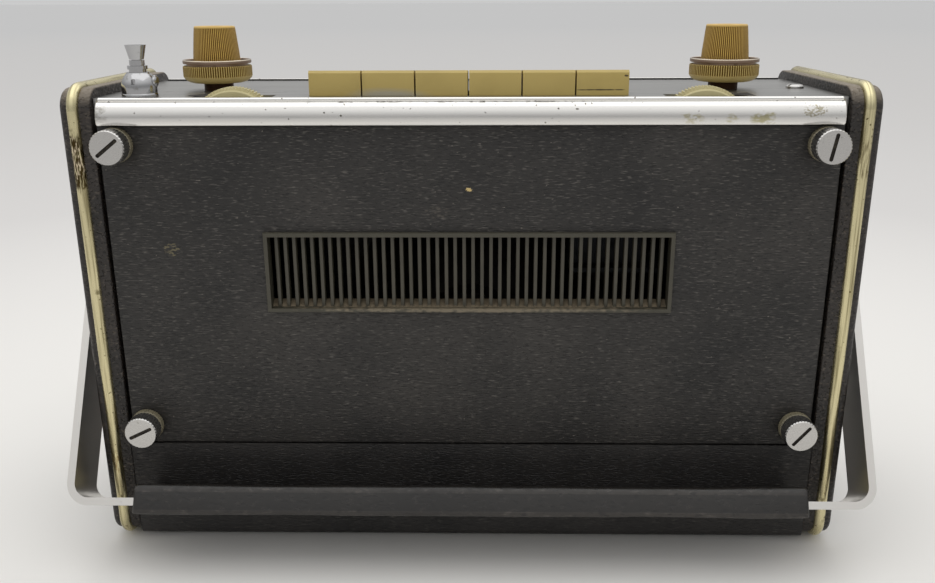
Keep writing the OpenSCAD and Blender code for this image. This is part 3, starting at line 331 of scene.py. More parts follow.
def fluted(piece: Piece, count: int, low: float, high: float, inside: float, depth: float) -> Piece:
    """Presses flutes into the round of a turned piece, one vertex in three at a time.

    Args:
        piece: turned piece on the origin with three sides to a flute.
        count: number of flutes, a multiple of four.
        low: height where the flutes start, in millimetres.
        high: height where they end.
        inside: radius inside which nothing moves.
        depth: share of the radius that a flute is deep.

    Returns:
        The same piece.
    """
    step = math.tau / (3 * count)

    def groove(middle: Vector, _way: Vector) -> bool:
        """Tells whether a vertex is the bottom of a flute."""
        index = round(math.atan2(middle.y, middle.x) / step)
        return low < middle.z < high and math.hypot(middle.x, middle.y) > inside and index % 3 == 0

    with editing(piece):
        choose(piece, Kind.VERT, groove, ORIGIN)
        bpy.ops.transform.resize(value=(1 - depth, 1 - depth, 1), center_override=(0, 0, 0))
    return closed(piece, 20.0)


def in_flute(middle: Vector, way: Vector) -> bool:
    """Tells whether a face of a fluted piece on the origin slopes into a flute."""
    out, side = Vector((middle.x, middle.y, 0.0)), Vector((way.x, way.y, 0.0))
    return side.length > 0.5 and side.normalized().dot(out.normalized()) < 0.9


def drawn(name: str, outline: Profile, start: float, end: float) -> Piece:
    """Draws an outline across the radio point by point, fills it and pulls it along X.

    Args:
        name: name of the piece.
        outline: depth and height of each point in millimetres.
        start: x of one end.
        end: x of the other end.

    Returns:
        A closed bar in its place.
    """
    bpy.ops.object.select_all(action="DESELECT")
    bpy.ops.mesh.primitive_plane_add(size=mm(1))
    piece = taken(name)
    points = [spot(start, y, z) for y, z in outline]
    with editing(piece):
        bpy.ops.mesh.select_mode(type="VERT")
        bpy.ops.mesh.select_all(action="SELECT")
        bpy.ops.mesh.merge(type="CENTER")
        bpy.ops.transform.translate(value=points[0])
        for here, there in zip(points, points[1:]):
            bpy.ops.mesh.extrude_vertices_move(TRANSFORM_OT_translate={"value": there - here})
        bpy.ops.mesh.select_all(action="SELECT")
        bpy.ops.mesh.edge_face_add()
        bpy.ops.mesh.extrude_region_move(TRANSFORM_OT_translate={"value": (mm(end - start), 0, 0)})
    return closed(piece)


def finished(piece: Piece, kind: str, **settings: object) -> Piece:
    """Adds a modifier with its settings and applies it.

    Args:
        piece: mesh object.
        kind: Blender's name for the modifier.
        settings: its options.

    Returns:
        The same piece.
    """
    step = piece.modifiers.new(kind.title(), kind)
    for key, value in settings.items():
        setattr(step, key, value)
    only(piece)
    bpy.ops.object.modifier_apply(modifier=step.name)
    return piece


def row(piece: Piece, count: int, step: float) -> Piece:
    """Repeats a piece along X, so many millimetres apart."""
    return finished(piece, "ARRAY", count=count, use_relative_offset=False, use_constant_offset=True,
                    constant_offset_displace=(mm(step), 0, 0))


def cut(piece: Piece, tool: Piece) -> Piece:
    """Cuts one piece out of another and throws the tool away."""
    finished(piece, "BOOLEAN", object=tool, operation="DIFFERENCE", solver="EXACT")
    bpy.data.objects.remove(tool)
    return piece


def twin(piece: Piece, name: str) -> Piece:
    """Copies a piece with a mesh of its own."""
    only(piece)
    bpy.ops.object.duplicate(linked=False)
    return taken(name)


def joined(name: str, parts: Sequence[Piece]) -> Piece:
    """Joins several meshes into one piece."""
    bpy.ops.object.select_all(action="DESELECT")
    for part in parts:
        part.select_set(True)
    bpy.context.view_layer.objects.active = parts[0]
    bpy.ops.object.join()
    return taken(name)


# Finishes


def feed(tree: Tree, node: bpy.types.Node, inputs: Mapping[str | int, object]) -> None:
    """Sets or links inputs of a node.

    Args:
        tree: node tree of the material.
        node: node whose inputs they are.
        inputs: sockets by name or number, each with a value or with a socket to link.
    """
    for key, value in inputs.items():
        if isinstance(value, Socket):
            tree.links.new(value, node.inputs[key])
        else:
            node.inputs[key].default_value = value


def add_node(
    tree: Tree, kind: str, inputs: Optional[Mapping[str | int, object]] = None, **settings: object,
) -> bpy.types.Node:
    """Adds one node, sets its options, and sets or links its inputs.

    Args:
        tree: node tree of the material.
        kind: Blender's name for the node, without ShaderNode.
        inputs: sockets by name or number, each with a value or with a socket to link.
        settings: the node's own options.

    Returns:
        The new node.
    """
    made = tree.nodes.new("ShaderNode" + kind)
    for key, value in settings.items():
        setattr(made, key, value)
    feed(tree, made, inputs or {})
    return made


@dataclass
class Shader:
    """A new material: its nodes, its Object coordinates and the shader that its pattern ends in."""

    material: bpy.types.Material
    tree: Tree
    coords: Socket
    skin: bpy.types.Node

    @classmethod
    def start(cls, name: str) -> "Shader":
        """Makes a material with nodes."""
        made = bpy.data.materials.new(name)
        made.use_nodes = True
        tree = made.node_tree
        return cls(made, tree, add_node(tree, "TexCoord").outputs["Object"], tree.nodes["Principled BSDF"])

    def noise(self, size: Triple, detail: float) -> Socket:
        """Gives noise of about 0.2 to 0.8.

        Args:
            size: step of the noise along X, Y and Z in millimetres.
            detail: how many finer steps it holds.

        Returns:
            The noise.
        """
        spread = add_node(self.tree, "Mapping", {"Vector": self.coords, "Scale": [per(s) for s in size]})
        inputs = {"Vector": spread.outputs[0], "Scale": 1.0, "Detail": detail}
        return add_node(self.tree, "TexNoise", inputs).outputs[0]

    def ramp(self, value: Socket, start: float, end: float, low: float = 0.0, high: float = 1.0) -> Socket:
        """Maps a value between two limits to a range, and keeps it there."""
        limits = {"From Min": start, "From Max": end, "To Min": low, "To Max": high}
        return add_node(self.tree, "MapRange", {"Value": value, **limits}).outputs[0]

    def blend(self, share: Socket, under: Tone, over: Tone) -> Socket:
        """Lays a share of one colour over another."""
        pair = [linear(tone) if isinstance(tone, str) else tone for tone in (under, over)]
        return add_node(self.tree, "Mix", {0: share, 6: pair[0], 7: pair[1]}, data_type="RGBA").outputs[2]

    def reckon(self, operation: str, *values: object) -> Socket:
        """Works out a sum, a product or a sine of sockets or numbers."""
        return add_node(self.tree, "Math", dict(enumerate(values)), operation=operation).outputs[0]

    def vector(self, operation: str, *values: object) -> bpy.types.Node:
        """Works out a vector."""
        return add_node(self.tree, "VectorMath", dict(enumerate(values)), operation=operation)

    def end(self, inputs: Mapping[str, object], height: Socket, depth: float, strength: float) -> None:
        """Ends the pattern in the shader.

        Args:
            inputs: the shader's inputs by name.
            height: relief of the surface.
            depth: depth of the relief in millimetres.
            strength: how strongly the relief shows.
        """
        bump = add_node(self.tree, "Bump", {"Height": height, "Distance": mm(depth), "Strength": strength})
        feed(self.tree, self.skin, {**inputs, "Normal": bump.outputs[0]})


@dataclass(frozen=True)
class Stain:
    """A worn or dirty patch at one place of a finish, broken up by noise."""

    place: Triple
    reach: Triple
    colour: str
    grit: Triple
    cover: float = 0.5
    blur: float = 0.1
    strength: float = 1.0

    def over(self, on: Shader, under: Socket) -> Socket:
        """Lays the patch over a colour.

        Args:
            on: the material.
            under: colour below the patch.

        Returns:
            The colour with the patch on it.
        """
        away = on.vector("SUBTRACT", on.coords, spot(*self.place)).outputs[0]
        away = on.vector("MULTIPLY", away, [per(r) for r in self.reach]).outputs[0]
        near = on.ramp(on.vector("LENGTH", away).outputs["Value"], *STAIN_FADE)
        part = on.reckon("MULTIPLY", on.noise(self.grit, 4.0), near)
        edge = 0.62 - 0.4 * self.cover
        return on.blend(on.ramp(part, edge, edge + self.blur, 0.0, self.strength), under, self.colour)


@dataclass(frozen=True)
class Finish:
    """What every finish has: a name for the real material, its main colour and its worn patches."""

    name: str
    colour: str
    roughness: float
    stains: tuple[Stain, ...] = ()

    def material(self) -> bpy.types.Material:
        """Gives the finish's material, made at its first use."""
        found = bpy.data.materials.get(self.name)
        if found:
            return found
        on = Shader.start(self.name)
        on.material.diffuse_color = linear(self.colour)
        self.shade(on)
        return on.material

    def shade(self, on: Shader) -> None:
        """Builds the finish's own pattern; each kind of finish has its own."""
        raise NotImplementedError

    def stained(self, on: Shader, colour: Socket) -> Socket:
        """Lays all the worn patches over a colour."""
        for stain in self.stains:
            colour = stain.over(on, colour)
        return colour


@dataclass(frozen=True)
class Leatherette(Finish):
    """Embossed PVC cloth glued over board: dull sheen, a pressed grain, and handling marks."""

    shadow: str = "#25221f"
    worn: str = "#4c4843"
    grain: Triple = (2.6, 2.6, 0.55)
    grain_depth: float = 0.16
    blotch: float = 38.0
    painted_top_light: str = ""
    painted_glints: str = ""

    def shade(self, on: Shader) -> None:
        """Darkens the pressed grain, lightens its worn tops, lets broad patches vary, and paints light on
        faces that look up and glints on the grain where asked.
        """
        grain = on.noise(self.grain, 2.0)
        low = on.ramp(on.noise(tuple(g * 0.95 for g in self.grain), 1.0), *PITS)
        tone = on.blend(on.ramp(on.noise((self.blotch,) * 3, 4.0), *PATCHES), self.shadow, self.colour)
        tone = on.blend(low, self.shadow, tone)
        tone = on.blend(on.ramp(grain, *TOPS), tone, self.worn)
        # Painted light: faces that look up are lightened, as if lit from above
        if self.painted_top_light:
            way = add_node(on.tree, "SeparateXYZ", {0: add_node(on.tree, "NewGeometry").outputs["Normal"]})
            tone = on.blend(on.ramp(way.outputs["Z"], *UPWARD_LIGHT), tone, self.painted_top_light)
        # Painted highlight: small pale glints where the grain's tops catch the light
        if self.painted_glints:
            tone = on.blend(on.ramp(on.noise(GLINT_SIZE, 0.0), *GLINT_LIMITS), tone, self.painted_glints)
        rough = on.ramp(grain, *MIDDLE, self.roughness + 0.12, self.roughness - 0.08)
        inputs = {"Base Color": self.stained(on, tone), "Roughness": rough, "IOR": PVC_IOR}
        on.end(inputs, on.reckon("ADD", grain, low), self.grain_depth, 0.8)


@dataclass(frozen=True)
class Metal(Finish):
    """Bare or plated metal: its own grain from the tool that finished it, and tarnish in patches."""

    tarnish: str = "#6b665e"
    tarnish_size: float = 6.0
    tarnish_share: float = 0.2
    grain: Triple = (1.0, 1.0, 1.0)
    grain_depth: float = 0.01
    spread: float = 0.1
    streak: float = 0.0
    pitted: float = 0.0

    def shade(self, on: Shader) -> None:
        """Mixes tarnish into the metal and takes gloss and relief from the grain."""
        grain = on.noise(self.grain, 3.0)
        start = 0.78 - 0.5 * self.tarnish_share
        mask = on.ramp(on.noise((self.tarnish_size,) * 3, 6.0), start, start + 0.14)
        tone = on.blend(mask, self.colour, self.tarnish)
        # Darker streaks along the grain: wear on the bead; on the deck partly painted reflection
        if self.streak:
            lines = on.noise(tuple(2 * g for g in self.grain), 2.0)
            tone = on.blend(on.ramp(lines, *STREAKS, 0.0, self.streak), tone, self.tarnish)
        if self.pitted:
            edge = 0.82 - 0.12 * self.pitted
            tone = on.blend(on.ramp(on.noise(PIT_SIZE, 0.0), edge, edge + 0.03), tone, self.tarnish)
        both = on.reckon("ADD", grain, mask)
        rough = on.ramp(both, 0.25, 1.25, self.roughness, self.roughness + self.spread * 2)
        inputs = {"Base Color": self.stained(on, tone), "Roughness": rough, "Metallic": 1.0}
        on.end(inputs, grain, self.grain_depth, 0.6)


@dataclass(frozen=True)
class Moulding(Finish):
    """Plastic, rubber, card or dull oxide: slight mottling, a fine skin and dirt in patches."""

    shadow: str = "#2a2620"
    mottle: float = 9.0
    share: float = 0.25
    skin_size: float = 0.5
    skin_depth: float = 0.01

    def shade(self, on: Shader) -> None:
        """Varies the colour a little and gives the surface the fine skin of its mould."""
        patch = on.noise((self.mottle,) * 3, 5.0)
        tone = on.blend(on.ramp(patch, *DIRT, 0.0, self.share), self.colour, self.shadow)
        rough = on.ramp(patch, *MIDDLE, self.roughness - 0.06, self.roughness + 0.08)
        inputs = {"Base Color": self.stained(on, tone), "Roughness": rough, "IOR": PLASTIC_IOR}
        on.end(inputs, on.noise((self.skin_size,) * 3, 2.0), self.skin_depth, 0.5)


@dataclass(frozen=True)
class Weave(Finish):
    """Plain woven cloth: threads that go over and under each other."""

    second: str = "#6f6248"
    thread: float = 1.2
    lift: float = 0.15

    def shade(self, on: Shader) -> None:
        """Lays warp and weft as two wave bands and raises them."""
        scale = math.pi / mm(self.thread)
        parts = add_node(on.tree, "SeparateXYZ", {0: on.coords}).outputs
        warp, weft = (on.reckon("SINE", on.reckon("MULTIPLY", parts[axis], scale)) for axis in "XZ")
        height = on.ramp(on.reckon("MULTIPLY", warp, weft), -1.0, 1.0)
        tone = on.blend(height, self.colour, self.second)
        inputs = {"Base Color": tone, "Roughness": self.roughness, "Sheen Weight": 0.3}
        on.end(inputs, height, self.lift, 0.8)


@dataclass(frozen=True)
class Clear(Finish):
    """Clear acrylic sheet with faint haze."""

    def shade(self, on: Shader) -> None:
        """Lets light through and varies the gloss with a faint haze."""
        rough = on.ramp(on.noise(HAZE_SIZE, 3.0), 0.4, 0.8, self.roughness, self.roughness + 0.08)
        inputs = {"Base Color": linear(self.colour), "Roughness": rough, "Transmission Weight": 1.0}
        feed(on.tree, on.skin, {**inputs, "IOR": ACRYLIC_IOR})


# Leatherette on the cover and the wall: straight grain pressed in short level strokes, greyed tops; on the
# cover, pale painted glints on the grain
COVER_CLOTH = Leatherette(
    "pvc_leatherette_straight_grain", "#2c2926", 0.5, shadow="#110f0e", worn="#595550",
    grain=(2.8, 2.8, 0.5), painted_glints="#6f6962",
    stains=(
        Stain((0.3, -0.1, 148.2), (2.7, 2.0, 1.8), "#cdb478", (0.7, 0.7, 0.5), 0.6),
        Stain((-12.0, -0.1, 139.5), (12.0, 3.0, 6.0), "#5a544b", (1.6, 1.6, 0.6), 0.4, 0.2, 0.6),
        Stain((-114.0, -0.1, 125.0), (8.0, 3.0, 7.0), "#6a6248", (1.3, 1.3, 0.8), 0.36, 0.1, 0.8),
        Stain((0.0, -0.1, 82.0), (190.0, 9.0, 80.0), "#403c37", (60.0, 9.0, 30.0), 0.9, 0.7, 0.55),
    ),
)
# The same cloth for the wall in the shade of the grip: darker as painted shade, and without stains or
# glints
SHADED_WALL_CLOTH = Leatherette(
    "pvc_leatherette_wall_painted_shade", "#272422", 0.5, shadow="#100e0d", worn="#46423e", grain=(2.8, 2.8, 0.5),
)
# Leatherette of the cheeks: coarse pebbled grain, brown black, with painted light on the faces that look up
CHEEK_CLOTH = Leatherette(
    "pvc_leatherette_pebbled", "#2d2621", 0.44, shadow="#120e0b", worn="#51483e",
    grain=(1.5, 1.5, 1.0), grain_depth=0.5, blotch=26.0, painted_top_light="#8a7d6a",
)
# Smooth leatherette drawn over the grip: a soft even sheen with few marks
GRIP_CLOTH = Leatherette(
    "pvc_leatherette_smooth", "#1e1b18", 0.32, shadow="#161412", worn="#272320",
    grain=(3.2, 1.6, 1.6), grain_depth=0.03, blotch=60.0,
)
# The same, lighter along the grip's creases: a painted highlight
GRIP_HIGHLIGHT_CLOTH = Leatherette(
    "pvc_leatherette_painted_highlight", "#332f2b", 0.42, shadow="#221f1d", worn="#45403b",
    grain=(3.2, 1.6, 1.6), grain_depth=0.03, blotch=60.0,
)
# Anodised aluminium bead: pale gold, worn to brown streaks along its length
BEAD_GOLD = Metal(
    "anodised_aluminium_gold", "#d9cfa6", 0.22, tarnish="#6b6140", tarnish_size=7.0, tarnish_share=0.28,
    grain=(0.45, 16.0, 16.0), grain_depth=0.03, streak=0.75, pitted=0.3,
    stains=(
        Stain((-145.5, -1.0, 159.0), (6.0, 7.0, 24.0), "#463a20", (0.5, 5.0, 5.0), 0.62),
        Stain((-145.5, -1.0, 160.0), (6.0, 7.0, 20.0), "#e3d3b4", (0.5, 3.0, 2.6), 0.3),
        Stain((145.5, -1.0, 159.0), (6.0, 7.0, 20.0), "#57492c", (0.5, 5.0, 5.0), 0.45, 0.2, 0.7),
        Stain((-145.5, -1.0, 36.0), (6.0, 7.0, 16.0), "#7a5c28", (0.5, 2.6, 2.6), 0.42, 0.2, 0.8),
    ),
)
# Polished aluminium trim: near mirror, with pits and stains where the lacquer has gone
TRIM_POLISH = Metal(
    "polished_aluminium", "#e4e2de", 0.17, tarnish="#77726a", tarnish_size=3.0, tarnish_share=0.02,
    grain=(24.0, 0.8, 0.8), grain_depth=0.006, pitted=0.2,
    stains=(
        Stain((107.0, -3.0, 174.8), (9.0, 6.0, 4.6), "#a79f6a", (2.4, 2.0, 1.2), 0.78, 0.2, 0.75),
        Stain((95.0, -3.0, 174.8), (6.0, 6.0, 3.6), "#b8b08a", (2.0, 2.0, 1.2), 0.6, 0.2, 0.6),
        Stain((81.0, -3.0, 174.8), (9.0, 6.0, 3.8), "#b3aa80", (2.0, 2.0, 1.2), 0.6, 0.2, 0.65),
        Stain((125.0, -2.0, 177.0), (10.0, 6.0, 5.5), "#9a9170", (1.0, 1.0, 0.7), 0.5, 0.12, 0.7),
        Stain((-137.0, -2.0, 176.5), (10.0, 6.0, 8.0), "#655d4a", (2.0, 2.0, 1.2), 0.75, 0.4, 0.65),
        Stain((0.0, 0.0, 180.5), (150.0, 4.0, 1.0), "#6b6459", (2.5, 2.0, 1.0), 0.35, 0.15, 0.7),
    ),
)
# Brushed aluminium deck: fine level strokes that streak the reflections, with darker streaks along them,
# partly the brushing and partly painted reflection
DECK_BRUSHED = Metal(
    "brushed_aluminium", "#a8a7a4", 0.26, tarnish="#7f7e7b", tarnish_size=18.0, tarnish_share=0.25,
    grain=(34.0, 0.7, 0.7), grain_depth=0.02, spread=0.12, streak=0.5,
)
# Nickel plated steel: bright, a little grey, with fine scratches
NICKEL = Metal(
    "nickel_plate", "#c2c0bd", 0.24, tarnish="#77726a", tarnish_size=2.4, tarnish_share=0.24,
    grain=(2.0, 0.4, 0.4),
)
# Brass gone olive: dull, with dirt in its knurl
OLIVE_BRASS = Moulding("oxidised_brass", "#7a735e", 0.5, shadow="#3f3a2d", mottle=3.0, share=0.7)
# Nickel of the rings' bright rims
RING_NICKEL = Metal("nickel_ring", "#e0d3c0", 0.2, tarnish="#9a8568", tarnish_size=5.0, tarnish_share=0.25)
# The rings' sides: darker and browner than the rims
RING_BROWN = Metal(
    "nickel_ring_side", "#8d7868", 0.32, tarnish="#54432f", tarnish_size=4.0, tarnish_share=0.35,
)
# Chrome plated brass of the aerial: mirror grey with dull patches
CHROME = Metal(
    "chrome_plate", "#b2b2b3", 0.1, tarnish="#85847f", tarnish_size=3.0, tarnish_share=0.3,
    grain=(1.2, 1.2, 3.0),
)
# Satin aluminium strap: soft stripes along the bar
STRAP_SATIN = Metal(
    "satin_aluminium", "#d6d3ce", 0.28, tarnish="#a29d95", tarnish_size=12.0, tarnish_share=0.2,
    grain=(14.0, 14.0, 0.6),
)
# Zinc plated sheet inside the case, darkened to a dark blue grey as painted shade, spangled
SHADED_ZINC = Metal(
    "passivated_zinc_sheet_painted_shade", "#303133", 0.5, tarnish="#232425", tarnish_size=9.0, tarnish_share=0.4,
)
# Turned brass of the drive: warm yellow
BRASS = Metal("turned_brass", "#b89a5a", 0.3, tarnish="#7d6534", tarnish_size=4.0)
# Dark phosphated steel of bushes and the loudspeaker
DARK_STEEL = Metal(
    "phosphated_steel", "#4a4744", 0.45, tarnish="#332f2b", tarnish_size=6.0, tarnish_share=0.4,
)
# Oiled bronze of the bushes under the knobs
BUSH_BRONZE = Metal("oiled_bronze", "#3d2c20", 0.45, tarnish="#22170f", tarnish_size=4.0, tarnish_share=0.4)
# Painted steel grille of the front
GRILLE_METAL = Metal(
    "satin_steel_bars", "#b4b1aa", 0.34, tarnish="#8d8983", tarnish_size=20.0, grain=(20.0, 0.6, 0.6),
)
# Key plastic: opaque khaki urea, smooth, a little grimed, greyed on the second key
KEY_PLASTIC = Moulding(
    "urea_plastic_khaki", "#b9a35f", 0.36, shadow="#978347", mottle=14.0, share=0.35,
    stains=(
        Stain((-30.0, 9.8, 181.6), (26.0, 9.0, 4.6), "#a3a195", (30.0, 9.0, 9.0), 1.0, 0.5, 0.85),
    ),
)
# The sixth key's crack: a thin dark line across its rear face
CRACKED_KEY = Moulding(
    "urea_plastic_khaki_cracked", "#b9a35f", 0.36, shadow="#978347", mottle=14.0, share=0.35,
    stains=(
        Stain((49.0, 9.8, 183.8), (17.0, 9.0, 0.34), "#2c2412", (2.4, 2.0, 2.0), 0.92),
        Stain((58.6, 9.8, 188.9), (1.6, 9.0, 0.6), "#4a3b1c", (2.4, 2.0, 2.0), 0.92),
    ),
)
# Ochre plastic of the upper knobs: warm, satin
OCHRE_PLASTIC = Moulding(
    "cellulose_plastic_ochre", "#d0ac5e", 0.4, shadow="#94763a", mottle=5.0, share=0.25,
)
# Flutes of the upper knobs: darker, painted shade in the grooves
OCHRE_FLUTE_SHADE = Moulding("ochre_plastic_painted_flute_shade", "#876720", 0.5, shadow="#5d450f", mottle=5.0, share=0.4)
# Olive plastic of the lower knobs
OLIVE_PLASTIC = Moulding(
    "cellulose_plastic_olive", "#c5ae6c", 0.42, shadow="#877544", mottle=5.0, share=0.25,
)
# Flutes of the lower knobs: darker, painted shade in the grooves
OLIVE_FLUTE_SHADE = Moulding("olive_plastic_painted_flute_shade", "#846726", 0.5, shadow="#5a4614", mottle=5.0, share=0.4)
# Cream khaki plastic of the thumbwheels
WHEEL_PLASTIC = Moulding("urea_plastic_cream", "#beb486", 0.4, shadow="#92875a", mottle=6.0, share=0.3)
# Olive grey vent: dull moulded frame, dusty on its ledge
VENT_PLASTIC = Moulding(
    "polystyrene_olive_grey", "#413e33", 0.45, shadow="#2d2b25", mottle=7.0, share=0.5,
    stains=(Stain((0.0, 0.0, 101.2), (130.0, 6.0, 2.2), "#756b59", (2.6, 2.0, 1.6), 0.85, 0.16),),
)
# Dust on the vent's sill: grey brown with pale grit
DUST = Moulding(
    "settled_dust", "#6a5f4d", 0.95, shadow="#3b342a", mottle=1.6, share=1.0, skin_size=0.7,
    skin_depth=0.3,
)
# Black rubber feet
RUBBER = Moulding("black_rubber", "#232221", 0.75, shadow="#161514", mottle=3.0, share=0.5, skin_depth=0.04)
# Dark bezel moulding of the dial
BEZEL_PLASTIC = Moulding("polystyrene_charcoal", "#2b2926", 0.35, shadow="#1c1a18", mottle=18.0)
# Painted dial scale: ivory enamel
SCALE_PAINT = Moulding("ivory_enamel", "#d8cfb4", 0.45, shadow="#b6a982", mottle=22.0)
# Printing ink of numbers and marks
INK = Moulding("printing_ink_black", "#1d1b19", 0.6, shadow="#2f2c28", mottle=2.0, share=0.5)
# Dirt packed in the slots of the screws: matt brown black
SLOT_GRIME = Moulding(
    "packed_dirt", "#2b2620", 0.8, shadow="#6d6556", mottle=1.4, share=1.0, skin_depth=0.1,
)
# Red enamel of the pointer
POINTER_RED = Moulding("red_enamel", "#a8261d", 0.35, shadow="#7a1712", mottle=3.0)
# Twisted fibre of the drive cord
CORD_FIBRE = Moulding(
    "waxed_cord", "#b7a98a", 0.8, shadow="#7a6c50", mottle=0.8, share=0.7, skin_size=0.3,
    skin_depth=0.06,
)
# Nylon drum
DRUM_PLASTIC = Moulding("natural_nylon", "#cfc8b6", 0.45, shadow="#a99f86")
# Phenolic circuit board: brown, faintly laminated
BOARD_PAPER = Moulding("phenolic_laminate", "#6f4f26", 0.4, shadow="#4f3516", mottle=12.0)
# Sintered ferrite: dark grey, dry
FERRITE = Moulding("sintered_ferrite", "#36363a", 0.6, shadow="#232326", skin_depth=0.05)
# Battery tray moulding
TRAY_PLASTIC = Moulding("polystyrene_grey", "#5d5a54", 0.5, shadow="#403d38")
# Plain printed cans of the cells
CELL_CAN = Metal("lacquered_tinplate", "#8d9aa0", 0.34, tarnish="#5f6a70", tarnish_size=10.0)
# Felted paper of the loudspeaker's cone
CONE_PAPER = Moulding(
    "felted_paper", "#33302c", 0.9, shadow="#201e1b", mottle=2.0, share=0.5, skin_depth=0.12,
)
# Grille cloth: brown and straw threads
GRILLE_CLOTH = Weave("woven_grille_cloth", "#4a3f2e", 0.85, second="#8a7a58", thread=1.6)
# Acrylic pane of the dial
PANE = Clear("clear_acrylic", "#f4f3ee", 0.02)


# Fitting pieces to the CAD frame


def fit(piece: Piece, finish: Finish, body: str, nodes: Sequence[str] = ()) -> Piece:
    """Dresses a modelled piece and ties it to its CAD body.

    Args:
        piece: finished mesh in its place.
        finish: what it is made of.
        body: CAD body that it moves with.
        nodes: CAD nodes that it stands for.

    Returns:
        The same piece.
    """
    if not piece.data.materials:
        piece.data.materials.append(finish.material())
    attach(piece, body)
    if nodes:
        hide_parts(*nodes)
    log.info("%s: %d faces in %s", piece.name, len(piece.data.polygons), finish.name)
    return piece


def two_tone(piece: Piece, finish: Finish, second: Finish, test: Test, datum: Vector = CASE) -> Piece:
    """Gives a piece one finish, and a second one on the faces that pass a test.

    Args:
        piece: mesh object without a material.
        finish: what it is made of.
        second: what lies on the chosen faces, such as dirt in a slot, painted shade in flutes and a painted
            highlight on creases.
        test: takes a face's middle in millimetres off the datum and its normal.
        datum: point that the test measures from.

    Returns:
        The same piece.
    """
    for coat in (finish, second):
        piece.data.materials.append(coat.material())
    with editing(piece):
        choose(piece, Kind.FACE, test, datum)
        piece.active_material_index = 1
        bpy.ops.object.material_slot_assign()
    return piece


def dress(node: str, finish: Finish, edge: float = 0.0) -> Piece:
    """Gives a CAD node its finish, and softens its edges if a width is given.

    Args:
        node: name of the CAD node.
        finish: what it is made of.
        edge: width of the softened edge in millimetres.

    Returns:
        The node's object.
    """
    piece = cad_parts[node]
    for place in piece.material_slots:
        place.material = finish.material()
    if edge:
        weld = piece.modifiers.new("Weld", "WELD")
        weld.merge_threshold = mm(MERGE)
        bevel = piece.modifiers.new("Bevel", "BEVEL")
        bevel.width, bevel.segments, bevel.limit_method = mm(edge), 3, "ANGLE"
        bevel.angle_limit = math.radians(40)
    log.info("%s: CAD solid in %s", node, finish.name)
    return piece


# Sub-assemblies


@dataclass
class Case:
    """Leatherette suitcase body: two cheeks with gold beads, the wall under the cover and its feet."""

    cheek_in: float = 139.0
    cheek_out: float = 151.0
    depth: float = 92.0
    top: float = 185.5
    corner: float = 8.0
    roll: float = 2.3

    def cheek(self, side: Side) -> Piece:
        """Models one cheek: a board with round corners, its leatherette rolled over the outer edge.

        Args:
            side: left or right.

        Returns:
            The cheek.
        """
        name = side.name.lower() + "_cheek"
        ends = sorted((side.value * self.cheek_in, side.value * self.cheek_out))
        board = block(name + "_board", (ends[0], 0, 0), (ends[1], self.depth, self.top))
        rounded(board, self.corner, 9, lambda _middle, way: along(way.x))
        outer = self.cheek_out - NEAR
        rounded(board, self.roll, 5, lambda middle, way: abs(middle.x) > outer and square(way.x))
        inner = self.cheek_in + NEAR
        rounded(board, 0.7, 3, lambda middle, way: abs(middle.x) < inner and square(way.x))
        return fit(closed(board), CHEEK_CLOTH, "case", [name])

    def build(self) -> None:
        """Builds both cheeks and dresses the beads, the carcass and the feet."""
        for side in Side:
            self.cheek(side)
        dress("cheek_beads", BEAD_GOLD)
        # The wall takes the darker copy of the cloth: painted shade under the grip
        dress("cabinet_frame", SHADED_WALL_CLOTH, 0.8)
        dress("feet", RUBBER, 0.4)


